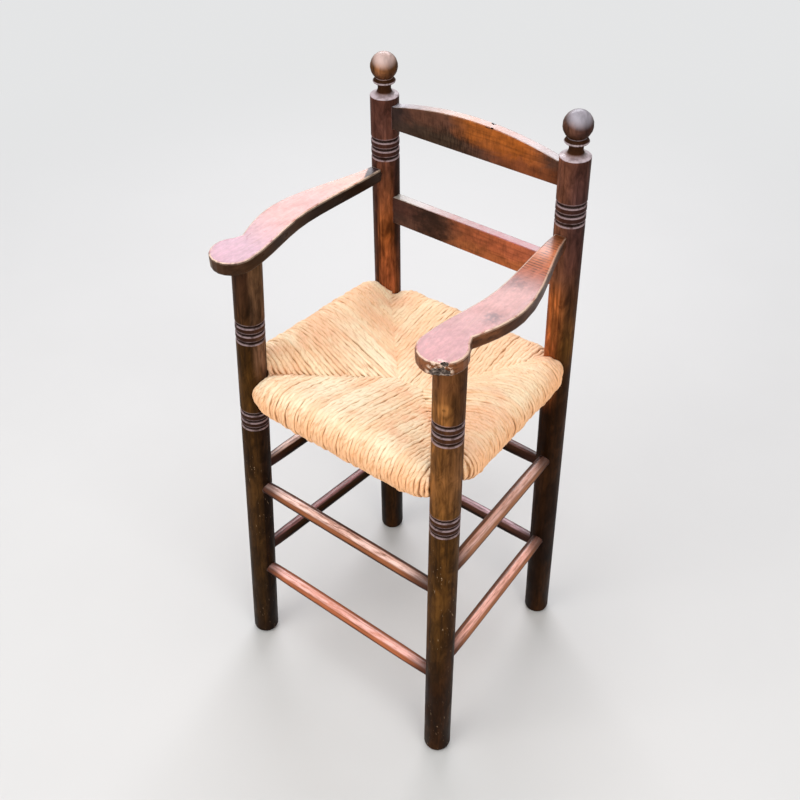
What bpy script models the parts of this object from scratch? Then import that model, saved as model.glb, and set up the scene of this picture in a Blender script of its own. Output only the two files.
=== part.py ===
"""Child's high chair in turned, stained wood with a woven rush seat.

Metres, +Z up. The chair faces -Y, left is -X, and it stands on z = 0 with the origin under the middle of its box.
Four splayed posts carry two back slats, two shaped arms, eight rungs and four seat rails. Every rung, rail, slat
and arm has a tenon in a blind mortise, and the rush is woven round the four rails in mitred panels.
"""
import math

import bmesh
import bpy
from mathutils import Matrix, Vector
from mathutils.geometry import interpolate_bezier

# Clearances
FIT = 0.0003                # gap all round between pieces that seat on or in each other
RUSH_FIT = 0.0004           # gap between the rush and the wood it is drawn round

# Posts: where the four feet stand and how far each post leans in towards its top
FRONT_FOOT_HALF = 0.1787    # half the spread of the front feet
REAR_FOOT_HALF = 0.1575     # half the spread of the rear feet
FOOT_DEPTH_HALF = 0.1579    # half the depth from front feet to rear feet
FRONT_SPLAY_ANGLE = math.radians(1.80)
FRONT_RAKE_ANGLE = math.radians(2.00)
REAR_SPLAY_ANGLE = math.radians(0.94)
REAR_RAKE_ANGLE = math.radians(2.08)
FRONT_POST_R = 0.0197
REAR_POST_R = 0.0193
FOOT_ROUND = 0.0075         # rounding at the foot's rim
FOOT_TRIM = 0.0012          # length sawn off so that each foot stands level
FOOT_STEPS = 3
POST_SEGMENTS = 24

# Rungs: heights of the lower and upper rows, and the turned form
LOWER_RUNG_Z = 0.1555       # front rungs
UPPER_RUNG_Z = 0.3305
SIDE_RUNG_RISE = 0.0280     # side rungs, over the front ones
BACK_LOWER_RISE = 0.0005    # back rungs, over the front ones
BACK_UPPER_RISE = 0.0060
RUNG_MID_R = 0.0102
RUNG_END_R = 0.0091
RUNG_TENON = 0.0220         # depth of a rung's mortise in the post
RUNG_SWELL_POWER = 7.0      # higher keeps the swell fuller towards the ends
RUNG_STATIONS = 8
RUNG_SEGMENTS = 12

# Seat rails, hidden in the rush
SEAT_Z = 0.5240             # mean height of the rails
RAIL_STAGGER = 0.0200       # height of the side rails over the front and back ones, so that the tenons pass
RAIL_R = 0.0150
RAIL_END_R = 0.0100
RAIL_TENON_R = 0.0072
RAIL_TENON = 0.0220
RAIL_TAPER = 0.0220         # length over which a rail thins to its shoulder
END_RAIL_Z = SEAT_Z - RAIL_STAGGER / 2.0
SIDE_RAIL_Z = SEAT_Z + RAIL_STAGGER / 2.0

# Rush seat: a rolled edge round each rail, dished panels and creases from the posts to a short ridge
RUSH_WRAP = 0.0115          # thickness of the rush over a rail
RIDGE_HALF = 0.0205         # half the ridge where the front and back panels meet
RIDGE_DIP = 0.0125          # how far the ridge lies under the rails' mean height
RIDGE_THICK = 0.0170
FRONT_CREASE_RISE = 0.0110  # where the creases start beside the posts, over the rails' mean height
REAR_CREASE_RISE = 0.0205
CREASE_DROP = 0.0210        # the same on the underside, below that height
CORNER_INSET_SHARE = 0.55   # where a crease starts, as a share of the post's radius
CORNER_ROUND = 0.0160       # how much thinner the rolled edge is at a post
CORNER_RUN = 0.0360         # length over which it fills out
PANEL_CROWN_SHARE = 0.55    # how far along a strand the top stays full before it falls to the crease
UNDER_CROWN_SHARE = 0.50    # the same on the underside
CREASE_STEPS = 5
CREASE_BUNCH_POWER = 1.6    # gathers the steps towards the posts
ROLL_STEPS = 7
FLAT_STEPS = 3
ROLL_R = RAIL_R + RUSH_WRAP

# Back slats
LOWER_SLAT_RISE = 0.1335    # lower slat's bottom edge over the seat rails
LOWER_SLAT_HEIGHT = 0.0415
SLAT_GAP = 0.1020
UPPER_SLAT_HEIGHT = 0.0325  # where it meets the posts
UPPER_SLAT_ARCH = 0.0150    # rise of its upper edge in the middle
SLAT_THICK = 0.0140
SLAT_TENON = 0.0180
SLAT_EDGE = 0.0016
SLAT_ARC_STEPS = 12
LOWER_SLAT_Z = SEAT_Z + LOWER_SLAT_RISE
UPPER_SLAT_Z = LOWER_SLAT_Z + LOWER_SLAT_HEIGHT + SLAT_GAP

# Arms: flat boards with a round paddle over the front post and a round tail in the rear post
ARM_OVER_SLAT = 0.0462      # top of the board at the rear post, over the lower slat's upper edge
ARM_FALL = 0.0100           # from there down to the top over the front post
ARM_THICK = 0.0182
ARM_EDGE = 0.0024           # rounding of the board's edges
PADDLE_R = 0.0300
PADDLE_AHEAD = 0.0180       # paddle's centre, ahead of the front post
PADDLE_OUT = 0.0020         # paddle's centre, outwards of the front post
NOTCH_BACK = 0.0145         # notch on the outer edge, behind the front post
NOTCH_OUT = 0.0185
NOTCH_FLARE = 0.0070        # how far the outer edge heads outwards as it leaves the notch
BULGE_BACK = 0.0900         # fullest part of the outer edge
BULGE_OUT = 0.0380
INNER_BACK = 0.1050         # hollow of the inner edge
INNER_OUT = -0.0105
TAIL_HALF = 0.0085          # half the board's width where it meets the rear post
TAIL_FLARE = 0.0050         # how far the outer edge comes in as it reaches the tail
NOTCH_PULL_SHARE = 0.22     # how long each bend of the outline keeps its heading, as a share of its run
BULGE_PULL_SHARE = 0.42
BULGE_EASE_SHARE = 0.32
TAIL_PULL_SHARE = 0.28
INNER_PULL_SHARE = 0.33
ARM_TENON_R = 0.0070
ARM_TENON = 0.0200
POST_TENON_R = 0.0100       # tenon on the front post, up into the paddle
POST_TENON_SHARE = 0.70     # its length, as a share of the board's thickness
POST_TENON = POST_TENON_SHARE * ARM_THICK
OUTLINE_STEPS = 6
ARM_REAR_TOP_Z = LOWER_SLAT_Z + LOWER_SLAT_HEIGHT + ARM_OVER_SLAT
ARM_FRONT_TOP_Z = ARM_REAR_TOP_Z - ARM_FALL

# Turned grooves, in groups of three, and where the middle of each group lies
GROOVES_PER_GROUP = 3
GROOVE_PITCH = 0.0127
GROOVE_WIDTH = 0.0056
GROOVE_DEPTH = 0.0026
GROOVE_SECTION = ((-0.5, 0.0), (-0.2, 0.85), (0.1, 1.0), (0.5, 0.0))  # shares of the width and of the depth
REAR_GROOVES_DROP = 0.0295  # below the upper slat's bottom edge
UPPER_GROOVES_RISE = 0.0858  # front posts, over the seat rails
LOWER_GROOVES_DROP = 0.0606  # front posts, below the seat rails
REAR_GROOVES_Z = UPPER_SLAT_Z - REAR_GROOVES_DROP
FRONT_UPPER_GROOVES_Z = SEAT_Z + UPPER_GROOVES_RISE
FRONT_LOWER_GROOVES_Z = SEAT_Z - LOWER_GROOVES_DROP

# Finials of the rear posts, each part by its height over the post's rim
RIM_RISE = 0.0105           # the rim itself, over the upper slat's ends
FINIAL_RIM_Z = UPPER_SLAT_Z + UPPER_SLAT_HEIGHT + RIM_RISE
RIM_EASE = 0.0008
NECK_RISE = 0.0080
NECK_R = 0.0088
NECK_STEPS = 3
COLLAR_RISE = 0.0186
COLLAR_R = 0.0153
COLLAR_HEIGHT = 0.0030
COLLAR_EASE = 0.0009
COLLAR_SEAT = 0.0042        # how far the ball's seat lies in from the collar's rim
BALL_RISE = 0.0380
BALL_R = 0.0182
BALL_RINGS = 9

# Shading: edges sharper than this stay crisp, and edges sharper than the second are eased
CRISP_ANGLE = math.radians(38.0)
EASED_ANGLE = math.radians(50.0)

# Colours
STAIN_DARK = (0.070, 0.026, 0.014)
STAIN_RED = (0.120, 0.040, 0.018)
STAIN_ARM = (0.105, 0.034, 0.020)
STAIN_SLAT = (0.135, 0.045, 0.015)
STRAW = (0.720, 0.430, 0.190)

LEFT = -1.0
RIGHT = 1.0


def clear_scene():
    for old in list(bpy.data.objects):
        bpy.data.objects.remove(old, do_unlink=True)


def material(name, colour, roughness):
    made = bpy.data.materials.new(name)
    made.use_nodes = True
    shader = made.node_tree.nodes["Principled BSDF"]
    shader.inputs["Base Color"].default_value = (*colour, 1.0)
    shader.inputs["Roughness"].default_value = roughness
    shader.inputs["Metallic"].default_value = 0.0
    return made


class Post:
    """A post's leaning axis: its foot on the floor and its shift in x and y for each metre of height."""

    def __init__(self, side, front):
        spread = FRONT_FOOT_HALF if front else REAR_FOOT_HALF
        depth = -FOOT_DEPTH_HALF if front else FOOT_DEPTH_HALF
        splay = FRONT_SPLAY_ANGLE if front else REAR_SPLAY_ANGLE
        rake = FRONT_RAKE_ANGLE if front else -REAR_RAKE_ANGLE
        self.foot = Vector((side * spread, depth, 0.0))
        self.slope = Vector((-side * math.tan(splay), math.tan(rake), 1.0))
        self.radius = FRONT_POST_R if front else REAR_POST_R
        self.crease_z = SEAT_Z + (FRONT_CREASE_RISE if front else REAR_CREASE_RISE)
        self.side = side
        self.front = front

    def at(self, z):
        return self.foot + self.slope * z

    def along(self, z):
        """Distance from the foot, measured along the post, of the point at height z."""
        return z * self.slope.length

    def place(self, z=0.0):
        """Frame at height z with its Z along the post."""
        return Matrix.Translation(self.at(z)) @ self.slope.to_track_quat("Z", "Y").to_matrix().to_4x4()


def frame_between(start, end):
    """Frame at start with its Z towards end and its X level."""
    axis = (end - start).normalized()
    level = axis.cross(Vector((0.0, 0.0, 1.0))).normalized()
    up = axis.cross(level)
    turn = Matrix((level, up, axis)).transposed().to_4x4()
    return Matrix.Translation(start) @ turn


def add_object(name, bm, matrix, parent, look=None):
    """Puts a mesh into the scene as one object; without a look it is a hidden cutter."""
    mesh = bpy.data.meshes.new(name)
    bmesh.ops.recalc_face_normals(bm, faces=bm.faces)
    bm.to_mesh(mesh)
    bm.free()
    mesh.shade_smooth()
    mesh.set_sharp_from_angle(angle=CRISP_ANGLE)
    made = bpy.data.objects.new(name, mesh)
    bpy.context.scene.collection.objects.link(made)
    made.parent = parent
    made.matrix_local = matrix
    if look:
        mesh.materials.append(look)
    else:
        made.hide_render = True
        made.display_type = "WIRE"
    return made


def boolean(target, cutter, operation="DIFFERENCE"):
    step = target.modifiers.new(operation.title() + " " + cutter.name, "BOOLEAN")
    step.operation = operation
    step.solver = "EXACT"
    step.object = cutter


def ease_edges(target, width):
    step = target.modifiers.new("Eased edges", "BEVEL")
    step.width = width
    step.segments = 2
    step.limit_method = "ANGLE"
    step.angle_limit = EASED_ANGLE


def lathe(profile, segments):
    """Turned solid: spins (radius, height) points, which start and end on the axis, about Z."""
    bm = bmesh.new()
    verts = [bm.verts.new((r, 0.0, z)) for r, z in profile]
    edges = [bm.edges.new(pair) for pair in zip(verts, verts[1:])]
    bmesh.ops.spin(bm, geom=verts + edges, axis=(0.0, 0.0, 1.0), cent=(0.0, 0.0, 0.0),
                   steps=segments, angle=math.tau, use_merge=True)
    bmesh.ops.remove_doubles(bm, verts=bm.verts, dist=1e-6)
    return bm


def thicken(bm, outline, vec):
    """Adds a board: the outline's face and its copy moved by vec, with the edge between them."""
    face = bm.faces.new([bm.verts.new(point) for point in outline])
    grown = bmesh.ops.extrude_face_region(bm, geom=[face])["geom"]
    moved = [item for item in grown if isinstance(item, bmesh.types.BMVert)]
    bmesh.ops.translate(bm, verts=moved, vec=vec)


def add_cylinder(bm, frame, radius, start, end, segments):
    """Adds a closed cylinder along the frame's Z, from start to end."""
    middle = frame @ Matrix.Translation((0.0, 0.0, (start + end) / 2.0))
    bmesh.ops.create_cone(bm, cap_ends=True, segments=segments, radius1=radius, radius2=radius,
                          depth=end - start, matrix=middle)


def add_box(bm, frame, low, high):
    """Adds a box between two corners of the frame."""
    low = Vector(low)
    high = Vector(high)
    size = high - low
    matrix = frame @ Matrix.Translation((low + high) / 2.0) @ Matrix.Diagonal((*size, 1.0))
    bmesh.ops.create_cube(bm, size=1.0, matrix=matrix)


def groove_group(post, middle_z):
    """Profile of one group of scooped grooves, from the lowest to the highest."""
    points = []
    for number in range(GROOVES_PER_GROUP):
        offset = (number - (GROOVES_PER_GROUP - 1) / 2.0) * GROOVE_PITCH
        middle = post.along(middle_z) + offset
        for across, deep in GROOVE_SECTION:
            points.append((post.radius - GROOVE_DEPTH * deep, middle + GROOVE_WIDTH * across))
    return points


def foot_profile(radius):
    """Rounded foot, a little longer than it stands, so that sawing it level leaves a flat sole."""
    sole = radius - FOOT_ROUND
    points = [(0.0, -FOOT_TRIM), (sole, -FOOT_TRIM)]
    for number in range(1, FOOT_STEPS + 1):
        angle = math.pi / 2.0 * number / FOOT_STEPS
        reach = sole + FOOT_ROUND * math.sin(angle)
        points.append((reach, FOOT_ROUND * (1.0 - math.cos(angle))))
    return points


def front_profile(post):
    """Front post from its foot to well into the arm, where the arm's underside trims it."""
    top = post.along(ARM_FRONT_TOP_Z)
    points = foot_profile(post.radius)
    points += groove_group(post, FRONT_LOWER_GROOVES_Z)
    points += groove_group(post, FRONT_UPPER_GROOVES_Z)
    return points + [(post.radius, top), (0.0, top)]


def rear_profile(post):
    """Rear post with its shoulder, neck, collar and ball."""
    rim = post.along(FINIAL_RIM_Z)
    points = foot_profile(post.radius)
    points += groove_group(post, REAR_GROOVES_Z)
    points += [(post.radius, rim - RIM_EASE), (post.radius - RIM_EASE, rim)]
    flare = post.radius - RIM_EASE - NECK_R
    for number in range(1, NECK_STEPS + 1):
        angle = math.pi / 2.0 * number / NECK_STEPS
        points.append((NECK_R + flare * (1.0 - math.sin(angle)), rim + NECK_RISE * (1.0 - math.cos(angle))))
    low = rim + COLLAR_RISE - COLLAR_HEIGHT / 2.0
    high = rim + COLLAR_RISE + COLLAR_HEIGHT / 2.0
    points += [(NECK_R, low - COLLAR_EASE), (COLLAR_R - COLLAR_EASE, low), (COLLAR_R, rim + COLLAR_RISE)]
    points.append((COLLAR_R - COLLAR_EASE, high))
    seat = math.asin((COLLAR_R - COLLAR_SEAT) / BALL_R)
    middle = rim + BALL_RISE
    for number in range(BALL_RINGS):
        angle = seat + (math.pi - seat) * number / BALL_RINGS
        points.append((BALL_R * math.sin(angle), middle - BALL_R * math.cos(angle)))
    return points + [(0.0, middle + BALL_R)]


class Turned:
    """A rung or rail between two posts at one height, with a tenon in each."""

    def __init__(self, start, end, z, tenon, tenon_r):
        self.frame = frame_between(start.at(z), end.at(z))
        self.length = (end.at(z) - start.at(z)).length
        self.radii = (start.radius, end.radius)
        self.tenon = tenon
        self.tenon_r = tenon_r

    def shoulders(self):
        return self.radii[0] + FIT, self.length - self.radii[1] - FIT

    def ends(self):
        return self.radii[0] - self.tenon + FIT, self.length - self.radii[1] + self.tenon - FIT

    def mortise(self, bm, at_start):
        """Adds the drilled hole for one of its tenons to a cutter."""
        radius = self.tenon_r + FIT
        if at_start:
            add_cylinder(bm, self.frame, radius, self.radii[0] - self.tenon, 2.0 * self.radii[0], RUNG_SEGMENTS)
        else:
            surface = self.length - self.radii[1]
            add_cylinder(bm, self.frame, radius, surface - self.radii[1], surface + self.tenon, RUNG_SEGMENTS)


def rung_profile(rung):
    """Rung swelling from its tenons to a long, nearly even middle."""
    first, last = rung.ends()
    low, high = rung.shoulders()
    points = [(0.0, first), (rung.tenon_r, first)]
    for number in range(RUNG_STATIONS + 1):
        share = (1.0 - math.cos(math.pi * number / RUNG_STATIONS)) / 2.0
        swell = 1.0 - abs(2.0 * share - 1.0) ** RUNG_SWELL_POWER
        points.append((rung.tenon_r + (RUNG_MID_R - RUNG_END_R) * swell, low + (high - low) * share))
    return points + [(rung.tenon_r, last), (0.0, last)]


def rail_profile(rail, extra=0.0):
    """Seat rail: tenon, shoulder, taper, plain middle; extra thickens it for the rush's tunnel."""
    first, last = rail.ends()
    low, high = rail.shoulders()
    return [
        (0.0, first), (rail.tenon_r + extra, first), (rail.tenon_r + extra, low - extra),
        (RAIL_END_R + extra, low - extra), (RAIL_R + extra, low + RAIL_TAPER),
        (RAIL_R + extra, high - RAIL_TAPER), (RAIL_END_R + extra, high + extra),
        (rail.tenon_r + extra, high + extra), (rail.tenon_r + extra, last), (0.0, last),
    ]


class Slat:
    """A flat back slat in the plane of the rear posts, with its two mortises."""

    def __init__(self, left, right, bottom_z, height, arch):
        self.height = height
        self.arch = arch
        middle_z = bottom_z + height / 2.0
        lean = Matrix.Rotation(REAR_RAKE_ANGLE, 4, "X")
        self.frame = Matrix.Translation((0.0, left.at(middle_z).y, middle_z)) @ lean
        self.half = right.at(middle_z).x - right.radius + SLAT_TENON

    def solid(self):
        """Board with a level lower edge and an upper edge that may be arched between the posts."""
        reach = self.half - FIT
        shown = self.half - SLAT_TENON - SLAT_EDGE
        top = self.height / 2.0
        edge = [(-reach, -top), (reach, -top), (reach, top)]
        if self.arch > 0.0:
            for number in range(SLAT_ARC_STEPS + 1):
                share = 1.0 - 2.0 * number / SLAT_ARC_STEPS
                edge.append((shown * share, top + self.arch * (1.0 - share ** 2)))
        edge.append((-reach, top))
        bm = bmesh.new()
        thicken(bm, [(x, -SLAT_THICK / 2.0, z) for x, z in edge], (0.0, SLAT_THICK, 0.0))
        return bm

    def mortise(self, bm, side):
        """Adds the slot for one end to a post's cutter."""
        depth = SLAT_THICK / 2.0 + FIT
        top = self.height / 2.0 + FIT
        edges = sorted((side * self.half, side * (self.half - 2.0 * SLAT_TENON)))
        add_box(bm, self.frame, (edges[0], -depth, -top), (edges[1], depth, top))


class Arm:
    """An arm board: its tilted plane, its outline and the holes and tenon at its ends."""

    def __init__(self, front, rear):
        self.front = front
        self.rear = rear
        self.side = front.side
        under_front = front.at(ARM_FRONT_TOP_Z - ARM_THICK)
        under_rear = rear.at(ARM_REAR_TOP_Z - ARM_THICK)
        ahead = Vector((0.0, under_rear.y - under_front.y, under_rear.z - under_front.z)).normalized()
        across = Vector((1.0, 0.0, 0.0))
        turn = Matrix((across, ahead, across.cross(ahead))).transposed().to_4x4()
        self.frame = Matrix.Translation(under_front) @ turn
        self.tail = self.frame.inverted() @ under_rear

    def outline(self):
        """Closed outline from the notch round the tail, the inner edge and the paddle."""
        side = self.side
        tail_y = self.tail.y - self.rear.radius
        notch = (side * NOTCH_OUT, NOTCH_BACK)
        bulge = (side * BULGE_OUT, BULGE_BACK)
        tail_out = (self.tail.x + side * TAIL_HALF, tail_y)
        tail_in = (self.tail.x - side * TAIL_HALF, tail_y)
        inner = (side * INNER_OUT, INNER_BACK)
        paddle_in = (side * (PADDLE_OUT - PADDLE_R), -PADDLE_AHEAD)
        rise = BULGE_BACK - NOTCH_BACK
        fall = tail_y - BULGE_BACK
        hollow = INNER_BACK + PADDLE_AHEAD
        run = tail_y - INNER_BACK
        outer_bends = [
            (notch, (side * (NOTCH_OUT + NOTCH_FLARE), NOTCH_BACK + rise * NOTCH_PULL_SHARE),
             (side * BULGE_OUT, BULGE_BACK - rise * BULGE_PULL_SHARE), bulge),
            (bulge, (side * BULGE_OUT, BULGE_BACK + fall * BULGE_EASE_SHARE),
             (tail_out[0] + side * TAIL_FLARE, tail_y - fall * TAIL_PULL_SHARE), tail_out),
        ]
        inner_bends = [
            (tail_in, (tail_in[0], tail_y - run * INNER_PULL_SHARE),
             (inner[0], INNER_BACK + run * INNER_PULL_SHARE), inner),
            (inner, (inner[0], INNER_BACK - hollow * INNER_PULL_SHARE),
             (paddle_in[0], -PADDLE_AHEAD + hollow * INNER_PULL_SHARE), paddle_in),
        ]
        points = self.bent(outer_bends) + [Vector((*tail_out, 0.0))] + self.bent(inner_bends)
        centre = Vector((side * PADDLE_OUT, -PADDLE_AHEAD, 0.0))
        to_notch = Vector((*notch, 0.0)) - centre
        end = math.atan2(to_notch.y, side * to_notch.x)
        steps = 2 * OUTLINE_STEPS + 2
        for number in range(steps):
            angle = -math.pi + (end + math.pi) * number / steps
            points.append(centre + PADDLE_R * Vector((side * math.cos(angle), math.sin(angle), 0.0)))
        return points

    @staticmethod
    def bent(bends):
        """Points along the bends, each without its last one."""
        points = []
        for bend in bends:
            knots = [Vector((*knot, 0.0)) for knot in bend]
            points += interpolate_bezier(*knots, OUTLINE_STEPS + 1)[:-1]
        return points

    def board(self):
        bm = bmesh.new()
        thicken(bm, self.outline(), (0.0, 0.0, ARM_THICK))
        return bm

    def tail_frame(self):
        """Frame on the rear post's axis with its Z pointing forwards along the board."""
        middle = self.frame @ Vector((self.tail.x, self.tail.y, ARM_THICK / 2.0))
        ahead = self.frame.to_3x3() @ Vector((0.0, -1.0, 0.0))
        return frame_between(middle, middle + ahead)

    def tenon(self):
        """Round tenon of the tail, rooted in the board."""
        bm = bmesh.new()
        back = self.rear.radius - ARM_TENON + FIT
        add_cylinder(bm, self.tail_frame(), ARM_TENON_R, back, 2.0 * self.rear.radius, RUNG_SEGMENTS)
        return bm

    def mortise(self, bm):
        back = self.rear.radius - ARM_TENON
        add_cylinder(bm, self.tail_frame(), ARM_TENON_R + FIT, back, 2.0 * self.rear.radius, RUNG_SEGMENTS)

    def coped(self):
        """Cutter for the tail's end, shaped to the rear post, and for the front post's tenon."""
        bm = bmesh.new()
        reach = 2.0 * ARM_THICK
        add_cylinder(bm, self.rear.place(ARM_REAR_TOP_Z), self.rear.radius + FIT, -reach, reach, 2 * POST_SEGMENTS)
        start = self.front.place(ARM_FRONT_TOP_Z - ARM_THICK)
        add_cylinder(bm, start, POST_TENON_R + FIT, -POST_TENON, POST_TENON + FIT, POST_SEGMENTS)
        return bm

    def shoulder(self):
        """Cutter that trims the front post along the board's underside."""
        bm = bmesh.new()
        reach = 2.0 * self.front.radius
        add_box(bm, self.frame, (-reach, -reach, -FIT), (reach, reach, 2.0 * ARM_THICK))
        return bm

    def post_tenon(self):
        """Tenon on the front post, from inside the post up into the paddle."""
        bm = bmesh.new()
        start = self.front.place(ARM_FRONT_TOP_Z - ARM_THICK)
        add_cylinder(bm, start, POST_TENON_R, -POST_TENON, POST_TENON, POST_SEGMENTS)
        return bm


class Panel:
    """One mitred panel of the rush, woven round the rail between two posts.

    Its strands run square to the rail, from the creases over the roll round the rail and back underneath.
    """

    def __init__(self, first, second, rail_z, outward):
        self.start = first.at(rail_z)
        self.run = second.at(rail_z) - self.start
        self.rail_z = rail_z
        self.outward = outward
        self.along = Vector((abs(outward.y), abs(outward.x), 0.0))

    def rail_at(self, point):
        """Point of the rail's axis square across from a point of the panel."""
        share = (point - self.start).dot(self.along) / self.run.dot(self.along)
        return self.start + self.run * share

    def strand(self, top, under, roll):
        """Points of the strand that leaves the crease at top, goes round the roll and comes back at under."""
        axis = self.rail_at(top)
        inward = (axis - top).dot(self.outward)
        crown = self.rail_z + roll
        belly = self.rail_z - roll
        points = []
        for number in range(1, FLAT_STEPS + 1):
            s = number / FLAT_STEPS
            bend = inward * (1.0 - PANEL_CROWN_SHARE)
            reach = (1.0 - s) ** 2 * inward + 2.0 * s * (1.0 - s) * bend
            points.append((reach, (1.0 - s) ** 2 * (top.z - crown) + crown))
        for number in range(1, ROLL_STEPS):
            angle = math.pi * number / ROLL_STEPS
            points.append((-roll * math.sin(angle), self.rail_z + roll * math.cos(angle)))
        for number in range(FLAT_STEPS):
            s = number / FLAT_STEPS
            bend = inward * (1.0 - UNDER_CROWN_SHARE)
            reach = 2.0 * s * (1.0 - s) * bend + s * s * inward
            points.append((reach, s * s * (under.z - belly) + belly))
        return [Vector((axis.x, axis.y, 0.0)) - self.outward * reach + Vector((0.0, 0.0, height))
                for reach, height in points]

    def roll_at(self, point, corners):
        """Radius of the rolled edge at a strand, thinner beside the posts."""
        near = min(abs((point - corner).dot(self.along)) for corner in corners)
        return ROLL_R - CORNER_ROUND * max(0.0, 1.0 - near / CORNER_RUN) ** 2

    def weave(self, bm, pairs):
        """Adds the panel's skin over its strands, which start at (top, under) pairs of crease points."""
        corners = (pairs[0][0].co, pairs[-1][0].co)
        loops = []
        for top, under in pairs:
            points = self.strand(top.co, under.co, self.roll_at(top.co, corners))
            loops.append([top] + [bm.verts.new(point) for point in points] + [under])
        for one, two in zip(loops, loops[1:]):
            for a, b, c, d in zip(one, one[1:], two[1:], two):
                bm.faces.new((a, b, c, d))
        bm.faces.new(loops[0])
        bm.faces.new(loops[-1])


def rush_seat(posts):
    """Closed solid of the woven seat, before the rails' tunnels and the posts' notches are cut."""
    bm = bmesh.new()
    ridge_y = (posts["front_left"].at(SEAT_Z).y + posts["rear_left"].at(SEAT_Z).y) / 2.0
    ridge_top_z = SEAT_Z - RIDGE_DIP
    ridge_under_z = ridge_top_z - RIDGE_THICK
    ridge = {}
    for side in (LEFT, 0.0, RIGHT):
        x = side * RIDGE_HALF
        ridge[side] = (bm.verts.new((x, ridge_y, ridge_top_z)), bm.verts.new((x, ridge_y, ridge_under_z)))
    creases = {}
    for name, post in posts.items():
        inwards = Vector((-post.side, 1.0 if post.front else -1.0, 0.0)).normalized()
        begin = post.at(SEAT_Z) + inwards * post.radius * CORNER_INSET_SHARE
        finish = ridge[post.side][0].co
        creases[name] = []
        for number in range(CREASE_STEPS):
            s = (number / CREASE_STEPS) ** CREASE_BUNCH_POWER
            flat = begin.lerp(finish, s)
            top_z = post.crease_z + (ridge_top_z - post.crease_z) * s
            under_z = SEAT_Z - CREASE_DROP + (ridge_under_z - SEAT_Z + CREASE_DROP) * s
            pair = (bm.verts.new((flat.x, flat.y, top_z)), bm.verts.new((flat.x, flat.y, under_z)))
            creases[name].append(pair)
    for end, outward in (("front", Vector((0.0, -1.0, 0.0))), ("rear", Vector((0.0, 1.0, 0.0)))):
        first, second = end + "_left", end + "_right"
        middle = [ridge[LEFT], ridge[0.0], ridge[RIGHT]]
        panel = Panel(posts[first], posts[second], END_RAIL_Z, outward)
        panel.weave(bm, creases[first] + middle + creases[second][::-1])
    for name, side in (("left", LEFT), ("right", RIGHT)):
        first, second = "front_" + name, "rear_" + name
        panel = Panel(posts[first], posts[second], SIDE_RAIL_Z, Vector((side, 0.0, 0.0)))
        panel.weave(bm, creases[first] + [ridge[side]] + creases[second][::-1])
    return bm


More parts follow.
